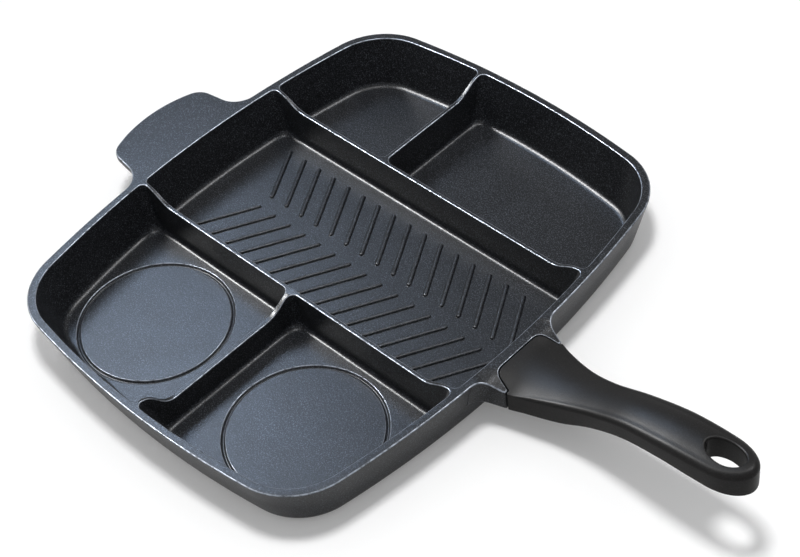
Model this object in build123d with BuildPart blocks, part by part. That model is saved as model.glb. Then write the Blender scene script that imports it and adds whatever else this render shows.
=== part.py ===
from build123d import *
import os
from math import cos, radians, sqrt, tan

# Divided skillet: a cast pan with five compartments, a helper tab and a moulded handle.
# Millimetres. +X runs to the handle, +Z up, and the origin is the middle of the base.

# Pan body
pan_length = 315.0  # along the handle, at the rim
pan_width = 381.0  # across the handle, at the rim: a nominal 15 inches
pan_height = 42.5
corner_radius = 50.0
end_bow = 20.0  # bulge of the handle-side and tab-side walls
side_bow = 13.0  # bulge of the two other walls
foot_inset_x = 9.0  # outward lean of the outer wall, along the handle
foot_inset_y = 11.0  # outward lean of the outer wall, across the handle
foot_corner_radius = 43.0
foot_rounding = 10.0
rim_width = 5.5
rim_rounding = 1.0

# Compartments
floor_thickness = 4.0
floor_inset_x = 6.0  # lean of the inner wall from rim to floor, along the handle
floor_inset_y = 10.5  # the same across the handle
floor_corner_radius = 37.0
floor_rounding = 8.0
rim_junction_radius = 4.5  # where a divider meets a wall, seen from above
floor_junction_radius = 9.0

# Dividers
grill_width = 127.1  # between the centre lines of the two long dividers
grill_offset = 14.75  # the grill's centre line, away from the handle's
back_split = -38.0  # centre line of the short divider behind the grill
front_split = 1.0  # centre line of the short divider in front of it
divider_thickness = 3.0  # at the top of a long divider
divider_draft = 2.0  # degrees
divider_height = 33.0  # above the base
front_split_height = 24.0
divider_rise = 28.0  # run of the curve that lifts a divider to the rim
front_split_drop = 25.0  # run of the curve from the long divider down to the low one
divider_end_gap = 2.0  # the curve reaches the rim this far from the wall

# Grill ribs
rib_pitch = 15.34
rib_angle = 29.8  # degrees away from straight across
rib_gap = 12.8  # between the two rows
rib_side_margin = 14.0  # from a rib's outer end to the divider
rib_end_margin = 18.0  # from the first rib to the wall, at least
rib_row_shift = 5.75
rib_width = 2.4
rib_height = 1.3
rib_draft = 25.0  # degrees

# Circular grooves
ring_margin = 8.0  # from the groove's centre line to the edge of the floor
ring_groove_width = 3.0
ring_groove_depth = 1.0

# Helper tab
tab_reach = 43.7
tab_root_width = 97.0
tab_tip_width = 85.6
tab_tip_bow = 9.9
tab_corner_radius = 10.5
tab_thickness = 5.0
tab_root_radius = 10.0

# Socket for the handle
socket_reach = 15.0  # from the rim to the front of the socket
socket_depth = 21.7  # from the rim down to the socket's underside
socket_floor = 4.0
socket_root_width = 71.0
socket_front_width = 53.8
socket_root_radius = 12.0
socket_crown_drop = 1.0  # the crown at the socket's front, below the rim
socket_edge_drop = 6.3  # the sides of the same crown, below the rim
seam_gap = 0.8
tongue_length = 12.5
tongue_back_width = 35.0
tongue_front_width = 45.0
tongue_corner_radius = 7.0
tongue_seat_gap = 0.2

# Handle
handle_length = 169.6  # from the front of the socket to the tip
handle_end_width = 32.0
handle_tip_length = 27.0  # the rounded end
handle_edge_radius = 2.0  # along the underside
handle_tip_rounding = 3.0
hole_length = 26.6
hole_width = 16.0
hole_end_margin = 8.5  # from the hole to the handle's tip
hole_rounding = 1.5

# Screws, washers and inserts, M5
screw_spacing = 18.0
screw_setback = 6.5  # from the front of the socket
screw_diameter = 4.8
screw_length = 12.0
screw_clearance = 0.35
head_diameter = 9.5
head_height = 3.2
head_rounding = 1.0
recess_width = 1.2
recess_length = 5.6
recess_depth = 1.8
flat_washer_diameter = 10.0
flat_washer_thickness = 1.0
spring_washer_diameter = 8.4
spring_washer_thickness = 1.3
spring_washer_gap = 0.8
insert_diameter = 7.0
insert_length = 9.0
insert_bore_clearance = 0.1

# Places worked out from the sizes above
rim_x = pan_length / 2
rim_y = pan_width / 2
back_divider = grill_offset + grill_width / 2
front_divider = grill_offset - grill_width / 2
socket_front = rim_x + socket_reach
socket_bottom = pan_height - socket_depth
tongue_back = socket_front - tongue_length
tongue_bottom = socket_bottom + socket_floor + tongue_seat_gap
handle_start = socket_front + seam_gap
handle_tip = socket_front + handle_length
screw_x = socket_front - screw_setback
screw_rows = (screw_spacing / 2, -screw_spacing / 2)
overcut = 1.0  # how far a cutter runs past the face that it opens
touching = 0.001  # points this close lie on the same line
upright_share = 0.8  # of an edge's direction, that makes it an upright edge


def divider_half(height):
    """Half the thickness of a divider at a height above the base."""
    return divider_thickness / 2 + (divider_height - height) * tan(radians(divider_draft))


def is_upright(edge):
    """Whether an edge runs mostly up and down."""
    return abs(edge.tangent_at(0.5).Z) > upright_share


def is_level(edge):
    """Whether an edge runs mostly sideways."""
    return not is_upright(edge)


def plan_outline(length, width, radius):
    """The pan's shape from above: four bowed sides and round corners."""
    corner_x = length / 2 - end_bow
    corner_y = width / 2 - side_bow
    corners = [(corner_x, -corner_y), (corner_x, corner_y), (-corner_x, corner_y), (-corner_x, -corner_y)]
    middles = [(length / 2, 0), (0, width / 2), (-length / 2, 0), (0, -width / 2)]
    with BuildSketch() as outline:
        with BuildLine():
            for start, middle, end in zip(corners, middles, corners[1:] + corners[:1]):
                ThreePointArc(start, middle, end)
        make_face()
        fillet(outline.vertices(), radius)
    return outline.sketch


def bow_drop(bow, half_side, position):
    """How far a bowed side has fallen away from its middle at a position along it."""
    bow_radius = (half_side**2 + bow**2) / (2 * bow)
    return bow_radius - sqrt(bow_radius**2 - position**2)


def inner_edge_x(y):
    """Distance from the middle to the rim's inner edge on the handle side, at y."""
    return rim_x - rim_width - bow_drop(end_bow, rim_y - side_bow, y)


def inner_edge_y(x):
    """Distance from the middle to the rim's inner edge at the back, at x."""
    return rim_y - rim_width - bow_drop(side_bow, rim_x - end_bow, x)


def compartment_section(height, tab_side, handle_side, front, back):
    """A compartment's outline at a height. Each side is a divider's centre line, or None for the wall."""
    depth = (pan_height - height) / (pan_height - floor_thickness)
    length = pan_length - 2 * rim_width - 2 * floor_inset_x * depth
    width = pan_width - 2 * rim_width - 2 * floor_inset_y * depth
    radius = corner_radius - rim_width
    radius += (floor_corner_radius - radius) * depth
    junction = rim_junction_radius + (floor_junction_radius - rim_junction_radius) * depth
    half = divider_half(height)
    left = -pan_length if tab_side is None else tab_side + half
    right = pan_length if handle_side is None else handle_side - half
    bottom = -pan_width if front is None else front + half
    top = pan_width if back is None else back - half
    with BuildSketch(Plane.XY.offset(height)) as section:
        add(plan_outline(length, width, radius))
        with Locations(((left + right) / 2, (bottom + top) / 2)):
            Rectangle(right - left, top - bottom, mode=Mode.INTERSECT)
        corners = section.vertices().filter_by(
            lambda v: min(abs(v.X - left), abs(v.X - right), abs(v.Y - bottom), abs(v.Y - top)) < touching
        )
        fillet(corners, junction)
    return section.sketch


def compartment_cutter(tab_side, handle_side, front, back):
    """The space of one compartment, from its rounded floor to above the rim."""
    sides = (tab_side, handle_side, front, back)
    with BuildPart() as cutter:
        loft(
            [compartment_section(floor_thickness, *sides), compartment_section(pan_height + overcut, *sides)],
            ruled=True,
        )
        fillet(cutter.edges().group_by(Axis.Z)[0], floor_rounding)
    return cutter.part


def dip_cutter(plane, stops):
    """What is cut off the top of a divider, along the plane, from (distance, height) stops.

    Neighbouring stops are joined by a line where they are level, and by a smooth curve otherwise.
    """
    half = divider_half(floor_thickness) + rim_junction_radius
    above = pan_height + overcut
    with BuildPart() as cutter:
        with BuildSketch(plane):
            with BuildLine():
                for start, end in zip(stops, stops[1:]):
                    if start[1] == end[1]:
                        Line(start, end)
                    else:
                        Spline(start, end, tangents=[(1, 0), (1, 0)])
                Polyline(stops[-1], (stops[-1][0], above), (stops[0][0], above), stops[0])
            make_face()
        extrude(amount=half, both=True)
    return cutter.part


def long_dip(y):
    """Stops for a long divider: up to the rim at both ends."""
    reach = inner_edge_x(y) - divider_end_gap
    low = reach - divider_rise
    return [(-reach, pan_height), (-low, divider_height), (low, divider_height), (reach, pan_height)]


def grip_section(x, width, foot, shoulder, crown, rounding):
    """A cross-section of the handle: flat below, upright sides and a crowned top."""
    half = width / 2
    with BuildSketch(Plane.YZ.offset(x)) as section:
        with BuildLine():
            Polyline((half, shoulder), (half, foot), (-half, foot), (-half, shoulder))
            ThreePointArc((-half, shoulder), (0, crown), (half, shoulder))
        make_face()
        fillet(section.vertices().group_by(Axis.Y)[0], handle_edge_radius)
        fillet(section.vertices().group_by(Axis.Y)[-1], rounding)
    return section.sketch


def roof_cutter():
    """What is taken off the socket's top: all above a surface from the flat rim to the handle's crown."""
    half = socket_root_width / 2 + socket_root_radius
    drop = bow_drop(socket_edge_drop - socket_crown_drop, socket_front_width / 2, half)
    crown = pan_height - socket_crown_drop
    above = pan_height + overcut
    with BuildSketch(Plane.YZ.offset(rim_x)) as rim_end:
        with BuildLine():
            Polyline((-half, pan_height), (-half, above), (half, above), (half, pan_height), close=True)
        make_face()
    with BuildSketch(Plane.YZ.offset(socket_front)) as front_end:
        with BuildLine():
            Polyline((-half, crown - drop), (-half, above), (half, above), (half, crown - drop))
            ThreePointArc((half, crown - drop), (0, crown), (-half, crown - drop))
        make_face()
    with BuildPart() as cutter:
        loft([rim_end.sketch, front_end.sketch], ruled=True)
    return cutter.part


def tongue_outline(gap, front):
    """The tongue's shape from above, grown by a gap, and run on to a front edge."""
    flare = (tongue_front_width - tongue_back_width) / 2 / tongue_length
    half_back = tongue_back_width / 2
    half_front = half_back + (front - tongue_back) * flare
    with BuildSketch() as outline:
        with BuildLine():
            Polyline(
                (tongue_back, -half_back),
                (front, -half_front),
                (front, half_front),
                (tongue_back, half_back),
                close=True,
            )
        make_face()
        fillet(outline.vertices().group_by(Axis.X)[0], tongue_corner_radius)
        if gap > 0:
            offset(amount=gap)
    return outline.sketch


# The five compartments: tab side, handle side, front and back of each
compartments = [
    (None, back_split, back_divider, None),
    (back_split, None, back_divider, None),
    (None, None, front_divider, back_divider),
    (None, front_split, None, front_divider),
    (front_split, None, None, front_divider),
]

# Pan casting: body, tab and socket, then what is cut out of it, and the ribs
with BuildPart() as pan_casting:
    with BuildSketch(Plane.XY):
        add(plan_outline(pan_length - 2 * foot_inset_x, pan_width - 2 * foot_inset_y, foot_corner_radius))
    with BuildSketch(Plane.XY.offset(pan_height)):
        add(plan_outline(pan_length, pan_width, corner_radius))
    loft(ruled=True)
    fillet(pan_casting.edges().group_by(Axis.Z)[0], foot_rounding)

    # Helper tab
    tab_root_x = -(rim_x - rim_width)
    tab_corner_x = -(rim_x + tab_reach - tab_tip_bow)
    with BuildSketch(Plane.XY.offset(pan_height)) as tab_outline:
        with BuildLine():
            Polyline(
                (tab_corner_x, -tab_tip_width / 2),
                (tab_root_x, -tab_root_width / 2),
                (tab_root_x, tab_root_width / 2),
                (tab_corner_x, tab_tip_width / 2),
            )
            ThreePointArc(
                (tab_corner_x, tab_tip_width / 2),
                (-(rim_x + tab_reach), 0),
                (tab_corner_x, -tab_tip_width / 2),
            )
        make_face()
        fillet(tab_outline.vertices().group_by(Axis.X)[0], tab_corner_radius)
    extrude(amount=-tab_thickness)

    # Socket block, flush with the rim
    wall_x = rim_x - rim_width - floor_inset_x
    with BuildSketch(Plane.XY.offset(pan_height)):
        with BuildLine():
            Polyline(
                (wall_x, -socket_root_width / 2),
                (socket_front, -socket_front_width / 2),
                (socket_front, socket_front_width / 2),
                (wall_x, socket_root_width / 2),
                close=True,
            )
        make_face()
    extrude(amount=-socket_depth)

    # Concave corners where the tab and the socket leave the wall
    upright = pan_casting.edges().filter_by(is_upright)
    tab_corners = upright.filter_by_position(Axis.X, -rim_x, -wall_x)
    tab_corners = tab_corners.filter_by_position(Axis.Y, -tab_root_width / 2, tab_root_width / 2)
    socket_corners = upright.filter_by_position(Axis.X, wall_x, rim_x)
    socket_corners = socket_corners.filter_by_position(Axis.Y, -socket_root_width / 2, socket_root_width / 2)
    fillet(tab_corners, tab_root_radius)
    fillet(socket_corners, socket_root_radius)

    # The rim's outer edge, round the tab and the socket too
    fillet(pan_casting.faces().sort_by(Axis.Z)[-1].outer_wire().edges(), rim_rounding)

    # The socket's top falls from the rim to the handle's crown
    add(roof_cutter(), mode=Mode.SUBTRACT)

    for sides in compartments:
        add(compartment_cutter(*sides), mode=Mode.SUBTRACT)

    # Dividers dip below the rim
    back_reach = inner_edge_y(back_split) - divider_end_gap
    front_reach = -(inner_edge_y(front_split) - divider_end_gap)
    back_stops = [
        (back_divider, divider_height),
        (back_reach - divider_rise, divider_height),
        (back_reach, pan_height),
    ]
    front_stops = [
        (front_reach, pan_height),
        (front_reach + divider_rise, front_split_height),
        (front_divider - front_split_drop, front_split_height),
        (front_divider, divider_height),
    ]
    for y in (back_divider, front_divider):
        add(dip_cutter(Plane.XZ.offset(-y), long_dip(y)), mode=Mode.SUBTRACT)
    add(dip_cutter(Plane.YZ.offset(back_split), back_stops), mode=Mode.SUBTRACT)
    add(dip_cutter(Plane.YZ.offset(front_split), front_stops), mode=Mode.SUBTRACT)

    # Grill ribs: two rows that meet in a chevron pointing at the handle
    grill_half = grill_width / 2 - divider_half(floor_thickness)
    rib_reach = grill_half - rib_side_margin - rib_gap / 2
    rib_length = rib_reach / cos(radians(rib_angle))
    rib_slant = rib_reach * tan(radians(rib_angle))
    rib_count = int((2 * wall_x - 2 * rib_end_margin - rib_slant) // rib_pitch) + 1
    for side in (1, -1):
        row_y = grill_offset + side * (rib_gap + rib_reach) / 2
        with BuildSketch(Plane.XY.offset(floor_thickness)):
            with Locations((rib_row_shift, row_y)):
                with GridLocations(rib_pitch, rib_pitch, rib_count, 1):
                    SlotCenterToCenter(rib_length, rib_width, rotation=90 + side * rib_angle)
        extrude(amount=rib_height, taper=rib_draft)

    # Circular grooves in the two front compartments
    half = divider_half(floor_thickness)
    wall_y = rim_y - rim_width - floor_inset_y
    ring_y = (front_divider - half - wall_y) / 2
    ring_radius = (wall_y + front_divider - half) / 2 - ring_margin
    groove_radius = (ring_groove_depth**2 + (ring_groove_width / 2) ** 2) / (2 * ring_groove_depth)
    for side in (1, -1):
        ring_x = (front_split + side * (half + wall_x)) / 2
        with Locations((ring_x, ring_y, floor_thickness - ring_groove_depth + groove_radius)):
            Torus(ring_radius, groove_radius, mode=Mode.SUBTRACT)

    # The socket's seat for the handle's tongue
    with BuildSketch(Plane.XY.offset(socket_bottom + socket_floor)):
        add(tongue_outline(seam_gap, handle_start + overcut))
    extrude(amount=pan_height, mode=Mode.SUBTRACT)

    # Screw holes through the socket's floor
    with Locations(*[(screw_x, y, socket_bottom) for y in screw_rows]):
        Cylinder(
            screw_diameter / 2 + screw_clearance,
            socket_floor,
            align=(Align.CENTER, Align.CENTER, Align.MIN),
            mode=Mode.SUBTRACT,
        )

# Handle: a smooth body through its cross-sections, cut back to the tongue and the rounded tip
socket_rim_width = socket_front_width + (socket_root_width - socket_front_width) * (
    socket_reach / (socket_front - wall_x)
)
tip_start = handle_tip - handle_tip_length
grip_length = tip_start - socket_front
handle_stations = [
    # place along the handle, width, then underside, shoulder and crown above the rim, shoulder rounding
    (rim_x, socket_rim_width, -socket_depth, -0.1, 0.0, 1.0),
    (socket_front, socket_front_width, -socket_depth, -socket_edge_drop, -socket_crown_drop, 1.5),
    (socket_front + 0.12 * grip_length, 44.0, -21.0, -4.6, 0.1, 2.5),
    (socket_front + 0.26 * grip_length, 34.9, -16.9, 0.2, 4.5, 3.5),
    (socket_front + 0.40 * grip_length, 30.3, -7.0, 7.2, 11.5, 4.0),
    (socket_front + 0.58 * grip_length, 30.4, 4.0, 16.8, 21.6, 4.5),
    (socket_front + 0.78 * grip_length, 33.0, 10.4, 23.2, 28.5, 5.0),
    (tip_start - 0.38 * handle_tip_length, 32.9, 11.4, 25.5, 31.0, 5.0),
    (tip_start + 0.12 * handle_tip_length, handle_end_width, 11.5, 26.2, 31.9, 5.0),
    (tip_start + 0.56 * handle_tip_length, handle_end_width, 11.5, 26.3, 32.0, 5.0),
    (handle_tip, handle_end_width, 11.5, 26.1, 31.7, 5.0),
]
with BuildPart() as handle_grip:
    loft(
        [
            grip_section(place, width, pan_height + foot, pan_height + shoulder, pan_height + crown, rounding)
            for place, width, foot, shoulder, crown, rounding in handle_stations
        ]
    )

    # Rounded tip
    with BuildSketch(Plane.XY):
        with Locations((rim_x, 0)):
            Rectangle(tip_start - rim_x, 2 * socket_root_width, align=(Align.MIN, Align.CENTER))
        with Locations((tip_start, 0)):
            Ellipse(handle_tip_length, handle_end_width / 2)
    extrude(amount=2 * pan_height, mode=Mode.INTERSECT)
    tip_edges = handle_grip.edges().filter_by_position(Axis.X, tip_start + overcut, handle_tip)
    tip_edges = tip_edges.filter_by(is_level).sort_by(Axis.Z)
    fillet(tip_edges[len(tip_edges) // 2 :], handle_tip_rounding)

    # Tongue: all but its outline is cut away inside the socket, and it stands on the socket's floor
    with BuildSketch(Plane.XY):
        with Locations((rim_x, 0)):
            Rectangle(handle_start - rim_x, 2 * socket_root_width, align=(Align.MIN, Align.CENTER))
        add(tongue_outline(0, handle_start + overcut), mode=Mode.SUBTRACT)
    extrude(amount=2 * pan_height, mode=Mode.SUBTRACT)
    with BuildSketch(Plane.XY.offset(tongue_bottom)):
        with Locations((rim_x, 0)):
            Rectangle(handle_start - rim_x, 2 * socket_root_width, align=(Align.MIN, Align.CENTER))
    extrude(amount=-tongue_bottom, mode=Mode.SUBTRACT)

    # Hanging hole
    with BuildSketch(Plane.XY):
        with Locations((handle_tip - hole_end_margin - hole_length / 2, 0)):
            Ellipse(hole_length / 2, hole_width / 2)
    extrude(amount=2 * pan_height, mode=Mode.SUBTRACT)
    fillet(handle_grip.edges(Select.LAST).filter_by(is_level), hole_rounding)

    # Seats for the inserts, open below
    with Locations(*[(screw_x, y, tongue_bottom) for y in screw_rows]):
        Cylinder(
            insert_diameter / 2,
            insert_length,
            align=(Align.CENTER, Align.CENTER, Align.MIN),
            mode=Mode.SUBTRACT,
        )

pieces = {"pan_casting": pan_casting, "handle_grip": handle_grip}

# Fixings under the socket, one set on each side: insert, flat washer, spring washer and screw
for side, y in zip(("left", "right"), screw_rows):
    with BuildPart() as insert:
        with BuildSketch(Plane.XY.offset(tongue_bottom)):
            with Locations((screw_x, y)):
                Circle(insert_diameter / 2)
                Circle(screw_diameter / 2 + insert_bore_clearance, mode=Mode.SUBTRACT)
        extrude(amount=insert_length)

    with BuildPart() as flat_washer:
        with BuildSketch(Plane.XY.offset(socket_bottom)):
            with Locations((screw_x, y)):
                Circle(flat_washer_diameter / 2)
                Circle(screw_diameter / 2 + screw_clearance, mode=Mode.SUBTRACT)
        extrude(amount=-flat_washer_thickness)

    with BuildPart() as spring_washer:
        with BuildSketch(Plane.XY.offset(socket_bottom - flat_washer_thickness)):
            with Locations((screw_x, y)):
                Circle(spring_washer_diameter / 2)
                Circle(screw_diameter / 2 + insert_bore_clearance, mode=Mode.SUBTRACT)
                Rectangle(
                    spring_washer_diameter,
                    spring_washer_gap,
                    align=(Align.MIN, Align.CENTER),
                    mode=Mode.SUBTRACT,
                )
        extrude(amount=-spring_washer_thickness)

    head_top = socket_bottom - flat_washer_thickness - spring_washer_thickness
    with BuildPart() as screw:
        with BuildSketch(Plane.XY.offset(head_top)):
            with Locations((screw_x, y)):
                Circle(screw_diameter / 2)
        extrude(amount=screw_length)
        with BuildSketch(Plane.XY.offset(head_top)):
            with Locations((screw_x, y)):
                Circle(head_diameter / 2)
        extrude(amount=-head_height)
        fillet(screw.edges().group_by(Axis.Z)[0], head_rounding)
        with BuildSketch(Plane.XY.offset(head_top - head_height)):
            with Locations((screw_x, y)):
                Rectangle(recess_length, recess_width)
                Rectangle(recess_width, recess_length)
        extrude(amount=recess_depth, mode=Mode.SUBTRACT)

    pieces[f"handle_insert_{side}"] = insert
    pieces[f"flat_washer_{side}"] = flat_washer
    pieces[f"spring_washer_{side}"] = spring_washer
    pieces[f"handle_screw_{side}"] = screw

os.makedirs("parts", exist_ok=True)
for node, piece in pieces.items():
    piece.part.label = node
    export_step(piece.part, f"parts/{node}.step")
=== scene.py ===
"""Divided skillet: the coated pan casting with its five compartments, the grill ribs, the moulded handle,
the fixings under the socket, and a plain studio."""

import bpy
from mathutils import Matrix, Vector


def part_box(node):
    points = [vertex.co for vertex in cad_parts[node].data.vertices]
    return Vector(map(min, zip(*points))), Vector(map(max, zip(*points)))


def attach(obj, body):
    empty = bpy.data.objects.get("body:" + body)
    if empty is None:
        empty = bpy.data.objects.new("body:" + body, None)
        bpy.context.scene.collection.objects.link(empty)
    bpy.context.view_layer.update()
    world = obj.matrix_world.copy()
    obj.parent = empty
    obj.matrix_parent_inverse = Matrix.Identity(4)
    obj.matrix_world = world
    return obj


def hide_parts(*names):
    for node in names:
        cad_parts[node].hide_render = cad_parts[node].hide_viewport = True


bl_info = {
    "name": "Divided Skillet",
    "version": (1, 0, 0),
    "blender": (4, 5, 0),
    "location": "View3D > Sidebar > Skillet",
    "description": "Builds a divided frying pan with a ribbed grill around its packed frame",
    "category": "Object",
}

from math import atan2, ceil, cos, hypot, pi, radians, sin, sqrt, tan

import bmesh
import bpy
from bpy.props import FloatProperty, FloatVectorProperty, IntProperty, PointerProperty
from mathutils import Vector
from mathutils.geometry import delaunay_2d_cdt

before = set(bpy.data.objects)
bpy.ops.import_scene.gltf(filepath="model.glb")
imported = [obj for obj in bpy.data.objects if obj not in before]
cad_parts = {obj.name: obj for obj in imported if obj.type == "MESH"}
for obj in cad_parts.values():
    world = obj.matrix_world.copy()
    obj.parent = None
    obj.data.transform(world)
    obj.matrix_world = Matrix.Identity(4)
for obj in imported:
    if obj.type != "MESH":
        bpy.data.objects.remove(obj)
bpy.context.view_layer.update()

MM = 0.001
PAN_LOW, PAN_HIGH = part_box("pan_casting")
GRIP_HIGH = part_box("handle_grip")[1]
# The inserts end flush with the underside of the handle's tongue, and the washers lie against the socket's
TONGUE_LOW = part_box("handle_insert_left")[0]
WASHER_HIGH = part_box("flat_washer_left")[1]


def length(name, description, default):
    """A size in metres that the user can change."""
    return FloatProperty(
        name=name, description=description, default=default, unit="LENGTH", subtype="DISTANCE"
    )


def angle_size(name, description, degrees):
    """An angle that the user can change, given in degrees."""
    return FloatProperty(name=name, description=description, default=radians(degrees), subtype="ANGLE")


def watts(name, description, default):
    """The power of a lamp."""
    return FloatProperty(name=name, description=description, default=default, unit="POWER")


def share(name, description, default):
    """A value from 0 to 1."""
    return FloatProperty(
        name=name, description=description, default=default, min=0.0, max=1.0, subtype="FACTOR"
    )


def colour(name, description, default):
    """A linear colour."""
    return FloatVectorProperty(
        name=name, description=description, default=default, size=3, min=0.0, max=1.0, subtype="COLOR"
    )


def spot(name, description, default):
    """A place in metres."""
    return FloatVectorProperty(name=name, description=description, default=default, subtype="TRANSLATION")


# Sizes and colours


class PanSizes(bpy.types.PropertyGroup):
    """Sizes of the casting. The pan stands on z = 0, and its middle is the origin."""

    rim_length: length("Rim length", "Along the handle", 315 * MM)
    rim_width: length("Rim width", "Across the handle", 381 * MM)
    height: length("Height", "From the base to the rim", PAN_HIGH.z)
    corner: length("Corner radius", "Corners of the rim, seen from above", 50 * MM)
    end_bow: length("End bow", "Bulge of the walls at the tab and the handle", 20 * MM)
    side_bow: length("Side bow", "Bulge of the other two walls", 13 * MM)
    foot_inset_x: length("Foot inset along", "Lean of the outer wall along the handle", 9 * MM)
    foot_inset_y: length("Foot inset across", "Lean of the outer wall across the handle", 11 * MM)
    foot_corner: length("Foot corner radius", "Corners of the base, seen from above", 43 * MM)
    foot_rounding: length("Foot rounding", "From the wall into the base", 10 * MM)
    rim_thickness: length("Rim thickness", "Wall at the rim", 5.5 * MM)
    rim_rounding: length("Rim rounding", "Outer edge of the rim", 1 * MM)
    edge_rounding: length("Edge rounding", "Upper edges of the compartments", 0.75 * MM)
    floor_thickness: length("Floor thickness", "From the base to the floor", 4 * MM)
    floor_inset_x: length("Floor inset along", "Lean of the inner wall along the handle", 6 * MM)
    floor_inset_y: length("Floor inset across", "Lean of the inner wall across the handle", 10.5 * MM)
    floor_corner: length("Floor corner radius", "Corners of the floor, seen from above", 37 * MM)
    floor_rounding: length("Floor rounding", "From the inner wall into the floor", 5.5 * MM)
    rim_junction: length("Junction at the rim", "Where a divider meets the wall", 4.5 * MM)
    floor_junction: length("Junction at the floor", "Where a divider meets the wall", 9 * MM)


class DividerSizes(bpy.types.PropertyGroup):
    """Sizes of the dividers and of what lies in the floors."""

    grill_width: length("Grill width", "Between the two long dividers", 127.1 * MM)
    grill_offset: length("Grill offset", "Middle of the grill from the middle of the pan", 14.75 * MM)
    back_split: length("Back split", "Place of the short divider behind the grill", -38 * MM)
    front_split: length("Front split", "Place of the low divider in front of the grill", 1 * MM)
    thickness: length("Thickness", "At the top of a long divider", 3 * MM)
    draft: angle_size("Draft", "Lean of a divider's sides", 2)
    height: length("Height", "Top of the long dividers above the base", 33 * MM)
    low_height: length("Low height", "Top of the low divider above the base", 24 * MM)
    rise: length("Rise", "Run of the curve up to the rim", 28 * MM)
    drop: length("Drop", "Run of the curve down to the low divider", 25 * MM)
    end_gap: length("End gap", "From the end of the rise to the wall", 2 * MM)
    foot_rounding: length("Foot rounding", "From a divider into the floor", 3.5 * MM)
    ring_margin: length("Ring margin", "From the groove's middle to the edge of the floor", 8 * MM)
    ring_width: length("Ring width", "Width of the circular groove", 3 * MM)
    ring_depth: length("Ring depth", "Depth of the circular groove", 1.7 * MM)


class RibSizes(bpy.types.PropertyGroup):
    """Sizes of the grill ribs."""

    count: IntProperty(name="Count", description="Ribs in each row", default=16, min=1)
    pitch: length("Pitch", "From rib to rib", 15.34 * MM)
    angle: angle_size("Angle", "Away from straight across", 29.8)
    gap: length("Gap", "Between the two rows", 12.8 * MM)
    side_margin: length("Side margin", "From a rib's outer end to the divider", 14 * MM)
    shift: length("Shift", "Middle of the rows, towards the handle", 4.4 * MM)
    width: length("Width", "At the rib's foot", 3.1 * MM)
    height: length("Height", "Above the floor", 1.6 * MM)


class FittingSizes(bpy.types.PropertyGroup):
    """Sizes of the helper tab and the socket, both cast on."""

    tab_root_width: length("Tab root width", "Where the tab leaves the rim", 97 * MM)
    tab_tip_width: length("Tab tip width", "Before its corners are rounded", 85.6 * MM)
    tab_tip_bow: length("Tab tip bow", "Bulge of the tab's end", 9.9 * MM)
    tab_corner: length("Tab corner radius", "Corners of the tab", 14 * MM)
    tab_thickness: length("Tab thickness", "Downwards from the rim", 5 * MM)
    tab_root: length("Tab root radius", "Concave corner at the wall", 18 * MM)
    socket_reach: length("Socket reach", "From the rim to the socket's front", 15 * MM)
    socket_root_width: length("Socket root width", "At the inner wall", 71 * MM)
    socket_front_width: length("Socket front width", "At the front", 53.8 * MM)
    socket_root: length("Socket root radius", "Concave corner at the wall", 12 * MM)
    socket_bottom: length("Socket bottom", "Underside of the socket above the base", WASHER_HIGH.z)
    seat_height: length("Seat height", "Floor of the handle's seat above the base", TONGUE_LOW.z - 0.2 * MM)
    crown_drop: length("Crown drop", "Middle of the socket's front below the rim", 1 * MM)
    edge_drop: length("Edge drop", "Sides of the socket's front below the rim", 6.3 * MM)
    seam: length("Seam", "Gap round the handle's tongue", 0.8 * MM)


class GripSizes(bpy.types.PropertyGroup):
    """Sizes of the moulded handle."""

    tongue_length: length("Tongue length", "Part of the handle in the socket", 12.5 * MM)
    tongue_back: length("Tongue back width", "At its rounded end", 40.5 * MM)
    tongue_front: length("Tongue front width", "At the socket's front", 47.5 * MM)
    tongue_corner: length("Tongue corner radius", "Corners of its end", 7 * MM)
    end_width: length("End width", "Of the handle at the hanging hole", 32 * MM)
    tip_length: length("Tip length", "The rounded end", 27 * MM)
    tip_rounding: length("Tip rounding", "Upper edge of the rounded end", 4.5 * MM)
    under_rounding: length("Under rounding", "Lower edges", 2 * MM)
    seam_rounding: length("Seam rounding", "Edges at the seam", 0.45 * MM)
    hole_length: length("Hole length", "Hanging hole, along the handle", 26.6 * MM)
    hole_width: length("Hole width", "Hanging hole, across the handle", 16 * MM)
    hole_margin: length("Hole margin", "From the hole to the tip", 8.5 * MM)
    hole_rounding: length("Hole rounding", "Edges of the hanging hole", 1.5 * MM)


class FinishValues(bpy.types.PropertyGroup):
    """Colours and finishes."""

    coating: colour("Coating", "Non-stick coating", (0.0058, 0.0062, 0.0074))
    coating_fleck: colour("Coating fleck", "Fine pearly flecks in the coating", (0.30, 0.33, 0.38))
    coating_roughness: share("Coating roughness", "Mean roughness of the coating", 0.31)
    grip: colour("Handle", "Moulded phenolic", (0.0085, 0.0080, 0.0078))
    grip_fleck: colour("Handle fleck", "Filler grains at the surface", (0.02, 0.02, 0.0205))
    grip_roughness: share("Handle roughness", "Mean roughness of the handle", 0.4)
    steel: colour("Zinc steel", "Screws and washers", (0.55, 0.56, 0.57))
    brass: colour("Brass", "Threaded inserts", (0.72, 0.55, 0.25))


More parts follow.
